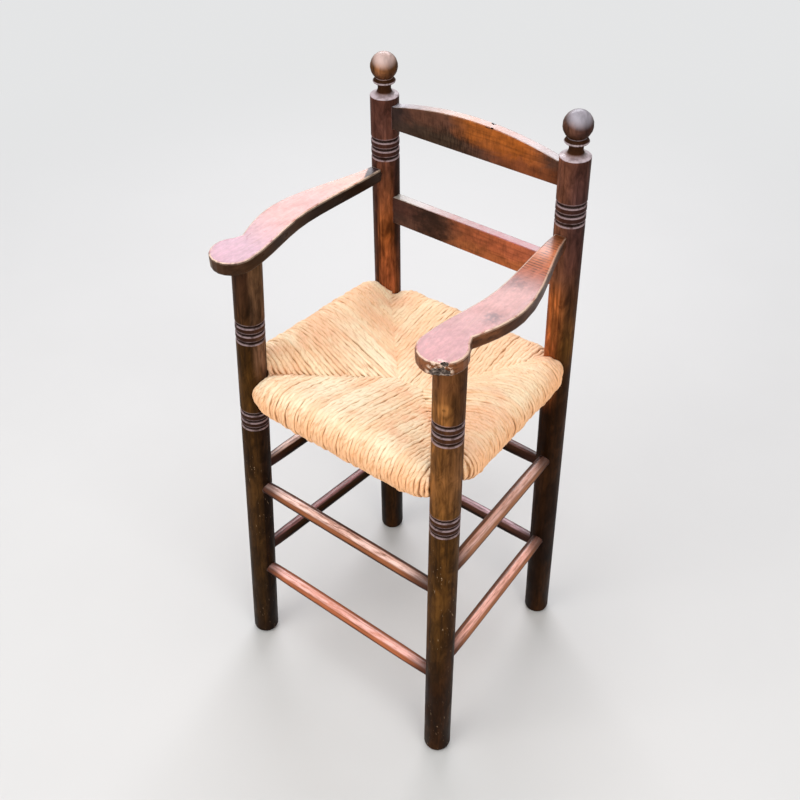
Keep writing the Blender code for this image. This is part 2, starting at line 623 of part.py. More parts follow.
def build():
    clear_scene()
    looks = {
        "post": material("stained_wood_posts", STAIN_DARK, 0.34),
        "rung": material("stained_wood_rungs", STAIN_RED, 0.36),
        "rail": material("plain_wood_rails", STAIN_RED, 0.55),
        "arm": material("stained_wood_arms", STAIN_ARM, 0.30),
        "slat": material("stained_wood_slats", STAIN_SLAT, 0.32),
        "rush": material("woven_rush", STRAW, 0.62),
    }
    posts = {
        "front_left": Post(LEFT, True),
        "front_right": Post(RIGHT, True),
        "rear_left": Post(LEFT, False),
        "rear_right": Post(RIGHT, False),
    }
    arms = {
        "left": Arm(posts["front_left"], posts["rear_left"]),
        "right": Arm(posts["front_right"], posts["rear_right"]),
    }

    # The box runs from the paddles' tips to the backs of the rear feet
    paddle = arms["left"].frame @ Vector((0.0, -PADDLE_AHEAD - PADDLE_R, ARM_THICK))
    middle_y = (paddle.y + FOOT_DEPTH_HALF + REAR_POST_R) / 2.0
    chair = bpy.data.objects.new("high_chair", None)
    chair.location = (0.0, -middle_y, 0.0)
    bpy.context.scene.collection.objects.link(chair)
    unturned = Matrix.Identity(4)
    cutters = {name: bmesh.new() for name in posts}

    # Rungs and seat rails, each drilled into the post at either end
    ends = {
        "front": ("front_left", "front_right"),
        "back": ("rear_left", "rear_right"),
        "left": ("front_left", "rear_left"),
        "right": ("front_right", "rear_right"),
    }
    front_rungs = (LOWER_RUNG_Z, UPPER_RUNG_Z)
    back_rungs = (LOWER_RUNG_Z + BACK_LOWER_RISE, UPPER_RUNG_Z + BACK_UPPER_RISE)
    side_rungs = (LOWER_RUNG_Z + SIDE_RUNG_RISE, UPPER_RUNG_Z + SIDE_RUNG_RISE)
    rung_heights = {"front": front_rungs, "back": back_rungs, "left": side_rungs, "right": side_rungs}
    rail_heights = {"front": END_RAIL_Z, "back": END_RAIL_Z, "left": SIDE_RAIL_Z, "right": SIDE_RAIL_Z}
    tunnels = []
    for run, (first, second) in ends.items():
        for row, z in zip(("lower", "upper"), rung_heights[run]):
            rung = Turned(posts[first], posts[second], z, RUNG_TENON, RUNG_END_R)
            rung.mortise(cutters[first], True)
            rung.mortise(cutters[second], False)
            solid = lathe(rung_profile(rung), RUNG_SEGMENTS)
            add_object(run + "_rung_" + row, solid, rung.frame, chair, looks["rung"])
        rail = Turned(posts[first], posts[second], rail_heights[run], RAIL_TENON, RAIL_TENON_R)
        rail.mortise(cutters[first], True)
        rail.mortise(cutters[second], False)
        solid = lathe(rail_profile(rail), RUNG_SEGMENTS)
        add_object("seat_rail_" + run, solid, rail.frame, chair, looks["rail"])
        tunnel = lathe(rail_profile(rail, RUSH_FIT), RUNG_SEGMENTS)
        tunnels.append(add_object("tunnel_" + run, tunnel, rail.frame, chair))

    # Back slats
    rear = (posts["rear_left"], posts["rear_right"])
    slats = {
        "upper": Slat(*rear, UPPER_SLAT_Z, UPPER_SLAT_HEIGHT, UPPER_SLAT_ARCH),
        "lower": Slat(*rear, LOWER_SLAT_Z, LOWER_SLAT_HEIGHT, 0.0),
    }
    for name, slat in slats.items():
        board = add_object("back_slat_" + name, slat.solid(), slat.frame, chair, looks["slat"])
        ease_edges(board, SLAT_EDGE)
        slat.mortise(cutters["rear_left"], LEFT)
        slat.mortise(cutters["rear_right"], RIGHT)

    # Arms
    for name, arm in arms.items():
        board = add_object("arm_" + name, arm.board(), arm.frame, chair, looks["arm"])
        ease_edges(board, ARM_EDGE)
        boolean(board, add_object("cope_" + name, arm.coped(), unturned, chair))
        boolean(board, add_object("arm_tenon_" + name, arm.tenon(), unturned, chair), "UNION")
        arm.mortise(cutters["rear_" + name])

    # Posts: sawn level at the foot, trimmed under the arm or turned to a finial, then drilled and mortised
    ground = bmesh.new()
    wide = 2.0 * (FRONT_FOOT_HALF + FOOT_DEPTH_HALF)
    add_box(ground, unturned, (-wide, -wide, -wide), (wide, wide, 0.0))
    floor = add_object("floor_line", ground, unturned, chair)
    notches = []
    for name, post in posts.items():
        profile = front_profile(post) if post.front else rear_profile(post)
        turned = add_object(name.replace("_", "_post_"), lathe(profile, POST_SEGMENTS), post.place(), chair,
                            looks["post"])
        boolean(turned, floor)
        if post.front:
            arm = arms[name.split("_")[1]]
            boolean(turned, add_object("shoulder_" + name, arm.shoulder(), unturned, chair))
            boolean(turned, add_object("post_tenon_" + name, arm.post_tenon(), unturned, chair), "UNION")
        boolean(turned, add_object("mortises_" + name, cutters[name], unturned, chair))
        notch = bmesh.new()
        reach = 3.0 * ROLL_R
        add_cylinder(notch, post.place(SEAT_Z), post.radius + RUSH_FIT, -reach, reach, 2 * POST_SEGMENTS)
        notches.append(add_object("notch_" + name, notch, unturned, chair))

    # Rush seat, threaded by the rails and notched round the posts
    rush = add_object("rush_seat", rush_seat(posts), unturned, chair, looks["rush"])
    for cutter in tunnels + notches:
        boolean(rush, cutter)


build()
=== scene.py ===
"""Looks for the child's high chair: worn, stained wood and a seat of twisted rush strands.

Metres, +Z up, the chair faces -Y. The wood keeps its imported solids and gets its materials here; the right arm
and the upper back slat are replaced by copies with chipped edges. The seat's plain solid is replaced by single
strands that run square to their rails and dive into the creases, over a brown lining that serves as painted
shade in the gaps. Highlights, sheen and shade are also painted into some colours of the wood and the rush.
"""
import math
import random

import bmesh
import bpy
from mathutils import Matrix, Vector, noise
from mathutils.bvhtree import BVHTree


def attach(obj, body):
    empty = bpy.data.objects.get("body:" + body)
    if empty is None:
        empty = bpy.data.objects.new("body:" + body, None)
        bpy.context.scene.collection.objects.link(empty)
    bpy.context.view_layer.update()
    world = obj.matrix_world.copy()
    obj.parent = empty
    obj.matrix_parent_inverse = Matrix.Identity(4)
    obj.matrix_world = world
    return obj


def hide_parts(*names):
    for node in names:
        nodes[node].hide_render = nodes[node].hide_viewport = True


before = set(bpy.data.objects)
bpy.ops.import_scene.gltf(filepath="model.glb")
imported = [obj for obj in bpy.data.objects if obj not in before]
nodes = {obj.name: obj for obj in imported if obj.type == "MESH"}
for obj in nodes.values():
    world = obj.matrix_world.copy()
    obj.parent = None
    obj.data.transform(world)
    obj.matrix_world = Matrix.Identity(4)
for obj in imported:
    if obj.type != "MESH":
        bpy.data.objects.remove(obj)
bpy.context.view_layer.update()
scene = bpy.context.scene
UP = Vector((0.0, 0.0, 1.0))

# The chair's own measures, as in its solids; True stands for the front
SHIFT_Y = 0.0021577
FOOT_DEPTH_HALF = 0.1579
FOOT_HALF = {True: 0.1787, False: 0.1575}
SPLAY = {True: math.radians(1.8), False: math.radians(0.94)}
RAKE = {True: math.radians(2.0), False: math.radians(-2.08)}
POST_R = {True: 0.0197, False: 0.0193}
RUNG_Z = {"lower": 0.1555, "upper": 0.3305}
SIDE_RUNG_RISE = 0.028
ARM_Z = {True: 0.735, False: 0.745}
SEAT_Z = 0.524
END_RAIL_Z = 0.514
SIDE_RAIL_Z = 0.534
ROLL_R = 0.0265
RIDGE_HALF = 0.0205
RIDGE_TOP_Z = 0.5115
RIDGE_UNDER_Z = 0.4905
CREASE_TOP_Z = {True: 0.535, False: 0.5455}
CREASE_UNDER_Z = 0.503
CORNER_INSET_SHARE = 0.55
CORNER_ROUND = 0.016
CORNER_RUN = 0.036
PANEL_CROWN_SHARE = 0.55
UNDER_CROWN_SHARE = 0.5
GROOVE_PITCH = 0.0127
GROOVE_GROUPS = {True: (0.4634, 0.6098), False: (0.7715,)}

# A finial's turned forms by height along the post: where each starts and where it is in full
SHOULDER = (0.8434, 0.8442)
NECK = (0.847, 0.85)
LEDGE_END = (0.856, 0.854)
COLLAR = (0.8595, 0.8606)
BALL = (0.8674, 0.8686)

# Rush strands
PITCH = 0.0056  # along the rail
STRAND_R = 0.0035
SIZE_RANGE = (0.88, 1.14)  # of a strand's radius
FLAT = 0.7  # a strand's height by its width
LOBE = 0.16  # of the twisted section
TWIST_RUN = 0.036  # of one turn
TWIST_RANGE = (0.75, 1.4)
THICKEN = 0.24  # swelling along a strand
SKIN_GAP = 0.0002  # below the solid's skin
LIFT_RANGE = (-0.0007, 0.0006)
POST_GAP = 0.9  # from a post, in radii
SIDES = 10
TOP_RINGS = 30
TOP_RING_POWER = 1.15  # sets them closer at the crease
ROLL_RINGS = 20
UNDER_RINGS = 9
PRESS = {0: 0.018, 1: 0.014}  # from a post's axis to the last strand, end and side panels
DIVE = 0.0008  # down at the crease
DIVE_RANGE = (0.0, 2.0)
DIVE_RUN = 0.008
DIVE_RUN_SHARE = 0.6  # at most, of the strand's top
OVERRUN = 0.0034  # on among the next panel's strands
OVERRUN_RANGE = (0.2, 1.4)
OVERRUN_DIVE = 1.3  # the tip's fall there, in dives and overruns
OVERRUN_FALL = 0.4
TAPER = 0.015  # length of the thinner tip
TIP = 0.93  # width of the tip, as a share
FRONT_TIP = 0.5  # the same at the front posts, where gaps show
FRONT_TIP_GAIN = 0.38  # wider by that at the ridge
FRONT_TIP_RUN = 0.115
RIDGE_SLACK = 0.002
WARP = 0.003  # sway of groups of strands
DRIFT = 0.0008  # bow of each one
BOW_START = 0.1
WOBBLE = 0.0011
BOB_SHARE = 0.7
ROUGH = 0.0015  # out of line on the rolls
SLANT = 0.003  # lean aside there
FRONT_SAG = 0.0034  # the front roll hangs lower between the posts
FRONT_SQUARE = 0.8  # power that fills out its lower curve
SAG_RUN = 0.08  # from a post to that form
STRIP_MARGIN = 0.05  # free share of a strand's strip of the map
MAP_MARGIN = 0.01

# Waves of those bends: per metre or per strand across, per metre along, and from panel to panel
SWAY_WAVES = (14.0, 9.0, 3.7)
SHAKE_WAVES = (5.3, 55.0, 1.9)
BOB_WAVES = (7.1, 60.0, 2.3)
LEAN_WAVES = (75.0, 12.0, 6.1)
ROUGH_WAVES = (140.0, 45.0, 4.3)
THICKEN_WAVES = (3.1, 60.0, 5.1)

# Lining below the strands, coloured as painted shade for the gaps between them
LINING_DEPTH = 0.0036
LINING_THICK = 0.0016
LINING_INSET = 0.008  # from the last strands
LINING_GAP = 0.0005  # from the posts
LINING_COLUMNS = 26
LINING_DIVE = 0.35  # share of the strands' dive
CREASE_ROWS = 3.0  # rows with painted shade, darker into the crease

# Fine limits for meshes
WELD = 0.000002
SLIVER = 0.000004
CUT_REACH = 0.00001


class Post:
    def __init__(self, side, front):
        self.side = side
        self.front = front
        self.radius = POST_R[front]
        depth = -FOOT_DEPTH_HALF if front else FOOT_DEPTH_HALF
        self.foot = Vector((side * FOOT_HALF[front], depth + SHIFT_Y, 0.0))
        self.slope = Vector((-side * math.tan(SPLAY[front]), math.tan(RAKE[front]), 1.0))

    def at(self, z):
        return self.foot + self.slope * z

    def crease_start(self):
        inwards = Vector((-self.side, 1.0 if self.front else -1.0, 0.0)).normalized()
        flat = self.at(SEAT_Z) + inwards * self.radius * CORNER_INSET_SHARE
        return flat.x, flat.y, CREASE_TOP_Z[self.front], CREASE_UNDER_Z


POSTS = {
    "front_left": Post(-1.0, True),
    "front_right": Post(1.0, True),
    "rear_left": Post(-1.0, False),
    "rear_right": Post(1.0, False),
}
SIDE_POSTS = {
    "front": ("front_left", "front_right"),
    "back": ("rear_left", "rear_right"),
    "left": ("front_left", "rear_left"),
    "right": ("front_right", "rear_right"),
}
RIDGE_Y = (POSTS["front_left"].at(SEAT_Z).y + POSTS["rear_left"].at(SEAT_Z).y) / 2.0


class Panel:
    """One mitred panel of the rush between two posts."""

    def __init__(self, name, rail_z, outward):
        self.name = name
        self.posts = [POSTS[key] for key in SIDE_POSTS[name]]
        self.rail_z = rail_z
        self.outward = Vector(outward)
        self.axis = 0 if outward[1] else 1
        self.along = Vector((1 - self.axis, self.axis, 0))
        self.start = self.posts[0].at(rail_z)
        self.run = self.posts[1].at(rail_z) - self.start
        sides = (-1.0, 1.0) if self.axis == 0 else (outward[0],)
        ridge = [(side * RIDGE_HALF, RIDGE_Y, RIDGE_TOP_Z, RIDGE_UNDER_Z) for side in sides]
        self.crease = [self.posts[0].crease_start()] + ridge + [self.posts[1].crease_start()]

    def span(self):
        """First and last place of a strand along the rail."""
        press = PRESS[self.axis]
        return self.start[self.axis] + press, (self.start + self.run)[self.axis] - press

    def crease_at(self, u):
        """Crease point of the strand at u: x, y and the heights of the top and the underside."""
        knots = self.crease
        for one, two in zip(knots, knots[1:]):
            if u <= two[self.axis] or two is knots[-1]:
                share = (u - one[self.axis]) / (two[self.axis] - one[self.axis])
                share = min(1.0, max(0.0, share))
                return [a + (b - a) * share for a, b in zip(one, two)]

    def rail_at(self, u):
        return self.start + self.run * ((u - self.start[self.axis]) / self.run[self.axis])

    def near_post(self, u):
        return min(abs(u - self.crease[0][self.axis]), abs(u - self.crease[-1][self.axis]))

    def roll_at(self, u):
        return ROLL_R - CORNER_ROUND * max(0.0, 1.0 - self.near_post(u) / CORNER_RUN) ** 2

    def fullness(self, u):
        """How much lower the roll hangs at u, and the power that fills out its lower curve."""
        share = min(1.0, self.near_post(u) / SAG_RUN) if self.name == "front" else 0.0
        return FRONT_SAG * share, 1.0 - (1.0 - FRONT_SQUARE) * share

    def tip_at(self, u):
        """Width of the strand's tip at u, as a share of the strand's."""
        x, y = self.crease_at(u)[:2]
        if y >= RIDGE_Y - RIDGE_SLACK:
            return TIP
        return FRONT_TIP + FRONT_TIP_GAIN * max(0.0, 1.0 - (abs(x) - RIDGE_HALF) / FRONT_TIP_RUN)

    def path(self, u, depth, dive=0.0, overrun=0.0):
        """Points of the strand at u, that deep under the seat's skin, each with its share of the way round."""
        x, y, top_z, under_z = self.crease_at(u)
        rail = self.rail_at(u)
        inward = (rail - Vector((x, y, 0.0))).dot(self.outward)
        roll = self.roll_at(u) - depth
        top_z -= depth
        under_z += depth
        crown = self.rail_z + roll
        sag, square = self.fullness(u)
        hang = roll + sag
        belly = self.rail_z - hang
        dive_run = min(DIVE_RUN, DIVE_RUN_SHARE * inward)
        places = []
        if overrun:
            places.append((inward + overrun, top_z - OVERRUN_DIVE * dive - OVERRUN_FALL * overrun, 0.0))
        for number in range(TOP_RINGS):
            s = (number / TOP_RINGS) ** TOP_RING_POWER
            reach = (1.0 - s) ** 2 * inward + 2.0 * s * (1.0 - s) * inward * (1.0 - PANEL_CROWN_SHARE)
            fall = 0.5 * (1.0 - s) ** 2 + 0.5 * (1.0 - 3.0 * s * s + 2.0 * s ** 3)
            height = fall * (top_z - crown) + crown
            sunk = dive * max(0.0, 1.0 - (inward - reach) / dive_run) ** 2
            places.append((reach, height - sunk, 0.0))
        for number in range(ROLL_RINGS + 1):
            angle = math.pi * number / ROLL_RINGS
            out = math.sin(angle)
            rise = roll * math.cos(angle)
            if rise < 0.0:
                out = out ** square
                rise = -hang * abs(math.cos(angle)) ** square
            places.append((-roll * out, self.rail_z + rise, number / ROLL_RINGS))
        for number in range(1, UNDER_RINGS + 1):
            s = number / UNDER_RINGS
            reach = 2.0 * s * (1.0 - s) * inward * (1.0 - UNDER_CROWN_SHARE) + s * s * inward
            places.append((reach, s * s * (under_z - belly) + belly, 1.0))
        return [(Vector((rail.x, rail.y, height)) - self.outward * reach, edge)
                for reach, height, edge in places]


def clear_of_posts(point, gap):
    """The point, moved sideways until it is that far from every post's surface."""
    for post in POSTS.values():
        away = point - post.at(point.z)
        away.z = 0.0
        least = post.radius + gap
        if away.length < least:
            point = post.at(point.z) + away.normalized() * least
    return point


def new_mesh(name, points, faces):
    mesh = bpy.data.meshes.new(name)
    mesh.from_pydata(points, [], faces)
    mesh.shade_smooth()
    made = bpy.data.objects.new(name, mesh)
    scene.collection.objects.link(made)
    return made


def tangents(points):
    ends = [points[0]] + points + [points[-1]]
    return [(ends[i + 2] - ends[i]).normalized() for i in range(len(points))]


def ripple(waves, across, along, seed):
    """Smooth noise about zero."""
    return noise.noise(Vector((across * waves[0], along * waves[1], seed * waves[2])))


def swayed(panel, route, u, number, seed, drift, gap):
    """The route with a strand's bends: each ring's point, share round the roll and length so far."""
    line = []
    travelled = 0.0
    for place, (point, edge) in enumerate(route):
        if place:
            travelled += (point - route[place - 1][0]).length
        share = min(1.0, place / TOP_RINGS)
        bow = math.sin(math.pi * min(1.0, share * (1.0 - BOW_START) + BOW_START))
        sway = WARP * bow * ripple(SWAY_WAVES, u, travelled, seed)
        shake = WOBBLE * ripple(SHAKE_WAVES, number, travelled, seed)
        bob = BOB_SHARE * WOBBLE * ripple(BOB_WAVES, number, travelled, seed)
        lean = SLANT * edge * ripple(LEAN_WAVES, u, travelled, seed)
        turned = math.pi * edge
        rough = ROUGH * math.sin(turned) * ripple(ROUGH_WAVES, u, travelled, seed)
        point = point + panel.along * (sway + shake + drift * bow + lean) + UP * bob
        point = point + (panel.outward * math.sin(turned) + UP * math.cos(turned)) * rough
        line.append((clear_of_posts(point, gap), edge, travelled))
    return line


def strands(panel, seed):
    """A panel's strands as one mesh of closed tubes, each with its tint and its strip of the map."""
    rng = random.Random(seed)
    low, high = panel.span()
    count = round((high - low) / PITCH) + 1
    points = []
    faces = []
    strip = []
    values = {"tint": [], "edge": [], "flank": []}
    for number in range(count):
        u = low + (high - low) * number / (count - 1)
        size = STRAND_R * rng.uniform(*SIZE_RANGE)
        tint = rng.random()
        phase = rng.uniform(0.0, math.tau)
        twist = TWIST_RUN * rng.uniform(*TWIST_RANGE)
        lift = rng.uniform(*LIFT_RANGE)
        drift = rng.uniform(-1.0, 1.0) * DRIFT
        dive = DIVE * rng.uniform(*DIVE_RANGE)
        overrun = OVERRUN * rng.uniform(*OVERRUN_RANGE)
        route = panel.path(u, FLAT * STRAND_R + SKIN_GAP - lift, dive, overrun)
        line = swayed(panel, route, u, number, seed, drift, POST_GAP * size)
        tip = panel.tip_at(u)
        base = len(points)
        last = len(line) - 1
        for (point, edge, travelled), head in zip(line, tangents([place[0] for place in line])):
            up = panel.along.cross(head).normalized()
            side = head.cross(up).normalized()
            slim = tip + (1.0 - tip) * min(1.0, travelled / TAPER)
            slim *= 1.0 + THICKEN * ripple(THICKEN_WAVES, number, travelled, seed)
            turn = math.tau * travelled / twist + phase
            for corner in range(SIDES):
                angle = math.tau * corner / SIDES
                grow = size * slim * (1.0 + LOBE * math.cos(2.0 * (angle - turn)))
                points.append(point + side * (grow * math.cos(angle)) + up * (FLAT * grow * math.sin(angle)))
                values["flank"].append(abs(math.cos(angle)))
            values["tint"] += [tint] * SIDES
            values["edge"] += [edge] * SIDES
        along = [MAP_MARGIN + (1.0 - 2.0 * MAP_MARGIN) * ring / last for ring in range(last + 1)]
        across = [(number + STRIP_MARGIN + (1.0 - 2.0 * STRIP_MARGIN) * corner / SIDES) / count
                  for corner in range(SIDES + 1)]
        for ring in range(last):
            one = base + ring * SIDES
            two = one + SIDES
            for corner in range(SIDES):
                after = (corner + 1) % SIDES
                faces.append((one + corner, two + corner, two + after, one + after))
                strip.append(((along[ring], across[corner]), (along[ring + 1], across[corner]),
                              (along[ring + 1], across[corner + 1]), (along[ring], across[corner + 1])))
        middle = (number + 0.5) / count
        for ring, step in ((0, 1), (last, -1)):
            one = base + ring * SIDES
            faces.append(tuple(one + corner for corner in range(SIDES))[::step])
            strip.append(((ring / last, middle),) * SIDES)
    made = new_mesh("rush_" + panel.name, points, faces)
    layer = made.data.uv_layers.new(name="OFBake")
    layer.data.foreach_set("uv", [value for face in strip for corner in face for value in corner])
    for name, listed in values.items():
        made.data.attributes.new(name, "FLOAT", "POINT").data.foreach_set("value", listed)
    return made


def add_sheet(panel, points, faces, deeps):
    """Adds one panel's lining as a closed sheet: points, faces, and how deep in the crease they are."""
    base = len(points)
    low, high = panel.span()
    low += LINING_INSET
    high -= LINING_INSET
    for column in range(LINING_COLUMNS):
        u = low + (high - low) * column / (LINING_COLUMNS - 1)
        for depth in (LINING_DEPTH, LINING_DEPTH + LINING_THICK):
            route = panel.path(u, depth, LINING_DIVE * DIVE)
            points += [clear_of_posts(point, LINING_GAP) for point, edge in route]
    rows = len(route)
    deeps += [max(0.0, 1.0 - row / CREASE_ROWS) for row in range(rows)] * (2 * LINING_COLUMNS)
    outside = panel.along.cross(panel.outward).z > 0.0

    def add(first, *corners):
        ring = [base + (2 * column + layer) * rows + row for column, layer, row in corners]
        faces.append(ring if first == outside else ring[::-1])

    for column in range(LINING_COLUMNS - 1):
        after = column + 1
        for row in range(rows - 1):
            for layer in (0, 1):
                add(layer == 0, (column, layer, row), (after, layer, row), (after, layer, row + 1),
                    (column, layer, row + 1))
        for row in (0, rows - 1):
            add(row == 0, (column, 0, row), (column, 1, row), (after, 1, row), (after, 0, row))
    for column in (0, LINING_COLUMNS - 1):
        for row in range(rows - 1):
            add(column == 0, (column, 0, row), (column, 0, row + 1), (column, 1, row + 1), (column, 1, row))


def filling(panels):
    """Thin brown lining under the strands, coloured as painted shade for the gaps between them."""
    points = []
    faces = []
    deeps = []
    for panel in panels:
        add_sheet(panel, points, faces, deeps)
    made = new_mesh("rush_filling", points, faces)
    made.data.attributes.new("deep", "FLOAT", "POINT").data.foreach_set("value", deeps)
    return made


def edited(mesh, edit):
    """Runs one edit on a mesh's points and faces."""
    shape = bmesh.new()
    shape.from_mesh(mesh)
    edit(shape)
    shape.to_mesh(mesh)
    shape.free()


def rough_ball(number, centre, outward, size):
    """The lumpy ball that cuts one bite: wide, tall and deep, with its depth along outward."""
    wide, tall, deep = size
    outward = Vector(outward).normalized()
    aside = outward.cross(UP).normalized()
    above = aside.cross(outward)
    ball = bmesh.new()
    bmesh.ops.create_icosphere(ball, subdivisions=4, radius=1.0)
    for vert in ball.verts:
        way = vert.co.copy()
        swell = 1.0 + 0.34 * noise.noise(way * 2.3 + Vector((number * 5.0, 0.0, 1.7)))
        swell += 0.26 * noise.noise(way * 7.0 + Vector((0.0, number * 3.0, 4.1)))
        reach = aside * way.x * wide + above * way.z * tall + outward * way.y * deep
        vert.co = Vector(centre) + reach * swell
    return ball


def bitten(node, bites):
    """Copy of a solid with rough bites out of its edge. The attribute cut marks the faces that they leave."""
    body = bpy.data.objects.new(node + "_worn", nodes[node].data.copy())
    scene.collection.objects.link(body)
    edited(body.data, lambda shape: bmesh.ops.remove_doubles(shape, verts=shape.verts, dist=WELD))
    cutters = []
    surfaces = []
    for number, (centre, outward, size) in enumerate(bites):
        ball = rough_ball(number, centre, outward, size)
        mesh = bpy.data.meshes.new("bite")
        ball.to_mesh(mesh)
        surfaces.append(BVHTree.FromBMesh(ball))
        ball.free()
        cutter = bpy.data.objects.new("bite", mesh)
        scene.collection.objects.link(cutter)
        cutters.append(cutter)
        step = body.modifiers.new("bite", "BOOLEAN")
        step.operation = "DIFFERENCE"
        step.solver = "EXACT"
        step.object = cutter
    bpy.context.view_layer.update()
    made = bpy.data.meshes.new_from_object(body.evaluated_get(bpy.context.evaluated_depsgraph_get()))
    edited(made, lambda shape: bmesh.ops.dissolve_degenerate(shape, edges=shape.edges, dist=SLIVER))
    body.modifiers.clear()
    body.data = made
    for cutter in cutters:
        bpy.data.objects.remove(cutter)
    cut = []
    for face in made.polygons:
        reach = min(surface.find_nearest(face.center)[3] for surface in surfaces)
        cut.append(float(reach < CUT_REACH))
    made.attributes.new("cut", "FLOAT", "FACE").data.foreach_set("value", cut)
    return body


class Nodes:
    """Short ways to add nodes to the shader tree of a material or a world."""

    def __init__(self, owner):
        owner.use_nodes = True
        self.tree = owner.node_tree

    def node(self, kind, inputs, output=0, **settings):
        """An output of a new node."""
        made = self.tree.nodes.new("ShaderNode" + kind)
        for name, value in settings.items():
            setattr(made, name, value)
        for key, value in inputs.items():
            self.feed(made.inputs[key], value)
        return made.outputs[output]

    def feed(self, socket, value):
        if isinstance(value, bpy.types.NodeSocket):
            self.tree.links.new(value, socket)
        elif socket.type == "RGBA":
            socket.default_value = (*value, 1.0)
        else:
            socket.default_value = value

    def math(self, operation, one, two=0.0):
        return self.node("Math", {0: one, 1: two}, operation=operation)

    def plus(self, one, two):
        return self.math("ADD", one, two)

    def minus(self, one, two):
        return self.math("SUBTRACT", one, two)

    def most(self, one, two):
        return self.math("MAXIMUM", one, two)

    def times(self, *values):
        product = values[0]
        for value in values[1:]:
            product = self.math("MULTIPLY", product, value)
        return product

    def less(self, value, share, amount=1.0):
        """The value, brought down by that amount where the share is 1."""
        return self.times(value, self.minus(1.0, self.times(share, amount)))

    def mix(self, share, one, two, blend="MIX"):
        return self.node("Mix", {0: share, 6: one, 7: two}, 2, data_type="RGBA", blend_type=blend)

    def seen_directly(self):
        """1 for what the camera sees, 0 for the light that falls on the chair."""
        rays = self.node("LightPath", {}).node.outputs
        return self.most(self.most(rays["Is Camera Ray"], rays["Is Glossy Ray"]), rays["Is Transmission Ray"])


class Look(Nodes):
    """One procedural material, with a colour that is painted up in layers."""

    def __init__(self, name, specular, coat_roughness=0.2):
        self.material = bpy.data.materials.new(name)
        super().__init__(self.material)
        self.shader = self.tree.nodes["Principled BSDF"]
        self.shader.inputs["Specular IOR Level"].default_value = specular
        self.shader.inputs["Coat Roughness"].default_value = coat_roughness
        self.place = self.node("TexCoord", {}, "Object")
        self.lie = self.place
        self.colour = None

    def vector(self, operation, one, two):
        return self.node("VectorMath", {0: one, 1: two}, "Value", operation=operation)

    def attribute(self, name):
        return self.node("Attribute", {}, "Fac", attribute_name=name)

    def split(self, place):
        return self.node("SeparateXYZ", {0: place}).node.outputs

    def lay(self, start, end):
        """Lays the grain from start to end. Gives the coordinates across it, twice, and along it."""
        turn = (end - start).rotation_difference(UP)
        inputs = {"Vector": self.place, "Rotation": turn.to_euler(), "Location": -(turn @ start)}
        self.lie = self.node("Mapping", inputs)
        return self.split(self.lie)

    def noise(self, scale, detail=3.0, rough=0.55, distortion=0.0, place=None):
        """Noise from about 0 to 1, in waves per metre along each axis of the grain."""
        scaled = self.node("Mapping", {"Vector": self.lie if place is None else place, "Scale": scale})
        inputs = {"Vector": scaled, "Scale": 1.0, "Detail": detail, "Roughness": rough}
        return self.node("TexNoise", {**inputs, "Distortion": distortion})

    def span(self, value, low, high, to_low=0.0, to_high=1.0, kind="SMOOTHSTEP"):
        """Smooth share of the way from low to high."""
        inputs = {"Value": value, "From Min": low, "From Max": high, "To Min": to_low, "To Max": to_high}
        return self.node("MapRange", inputs, interpolation_type=kind)

    def band(self, value, low, full, still, end):
        """1 from full to still, falling to 0 at low and at end."""
        return self.times(self.span(value, low, full), self.span(value, end, still))

    def uneven(self, scale, low, high):
        """Noise between two values."""
        return self.span(self.noise(scale), 0.3, 0.7, low, high)

    def ramp(self, value, stops):
        """Colour along a value, through (value, colour) stops."""
        first, last = stops[0][0], stops[-1][0]
        made = self.node("ValToRGB", {0: self.span(value, first, last, kind="LINEAR")})
        knots = made.node.color_ramp.elements
        for number, (at, colour) in enumerate(stops):
            spot = (at - first) / (last - first)
            knot = knots[number] if number < 2 else knots.new(spot)
            knot.position = spot
            knot.color = (*colour, 1.0)
        return made

    def near(self, point, radius, soft):
        """1 at the point, falling to 0 at the radius."""
        return self.span(self.vector("DISTANCE", self.place, point), radius, radius * soft)

    def facing(self, direction, low, high):
        """Share by which the surface faces a fixed direction of the chair."""
        normal = self.node("NewGeometry", {}, "Normal")
        return self.span(self.vector("DOT_PRODUCT", normal, direction), low, high)

    def worn_edge(self, radius):
        """Share of wear along crisp edges."""
        return self.facing(self.node("Bevel", {"Radius": radius}, samples=6), 0.985, 0.9)

    def shaded(self, colour, share, low, high):
        """The colour, darkened to low where share is small and lightened to high where it is large."""
        level = self.span(share, 0.25, 0.75, low, high)
        grey = self.node("CombineXYZ", {0: level, 1: level, 2: level})
        return self.mix(1.0, colour, grey, "MULTIPLY")

    def shade(self, share, low, high):
        self.colour = self.shaded(self.colour, share, low, high)

    def paint(self, tone, *shares):
        """Lays a tone over the colour so far, as much as the product of the shares says."""
        self.colour = self.mix(self.times(*shares), self.colour, tone)

    def paint_where(self, tone, value, low, high, share):
        """Lays a tone over the colour where the value goes from low to high, up to that share."""
        self.paint(tone, self.span(value, low, high, 0.0, share))

    def finish(self, roughness, height=None, strength=0.2, depth=0.001, coat=0.0):
        inputs = self.shader.inputs
        self.feed(inputs["Base Color"], self.colour)
        self.feed(inputs["Coat Weight"], coat)
        self.feed(inputs["Roughness"], roughness)
        if height is not None:
            bump = self.node("Bump", {"Height": height, "Strength": strength, "Distance": depth})
            self.feed(inputs["Normal"], bump)
        return self.material


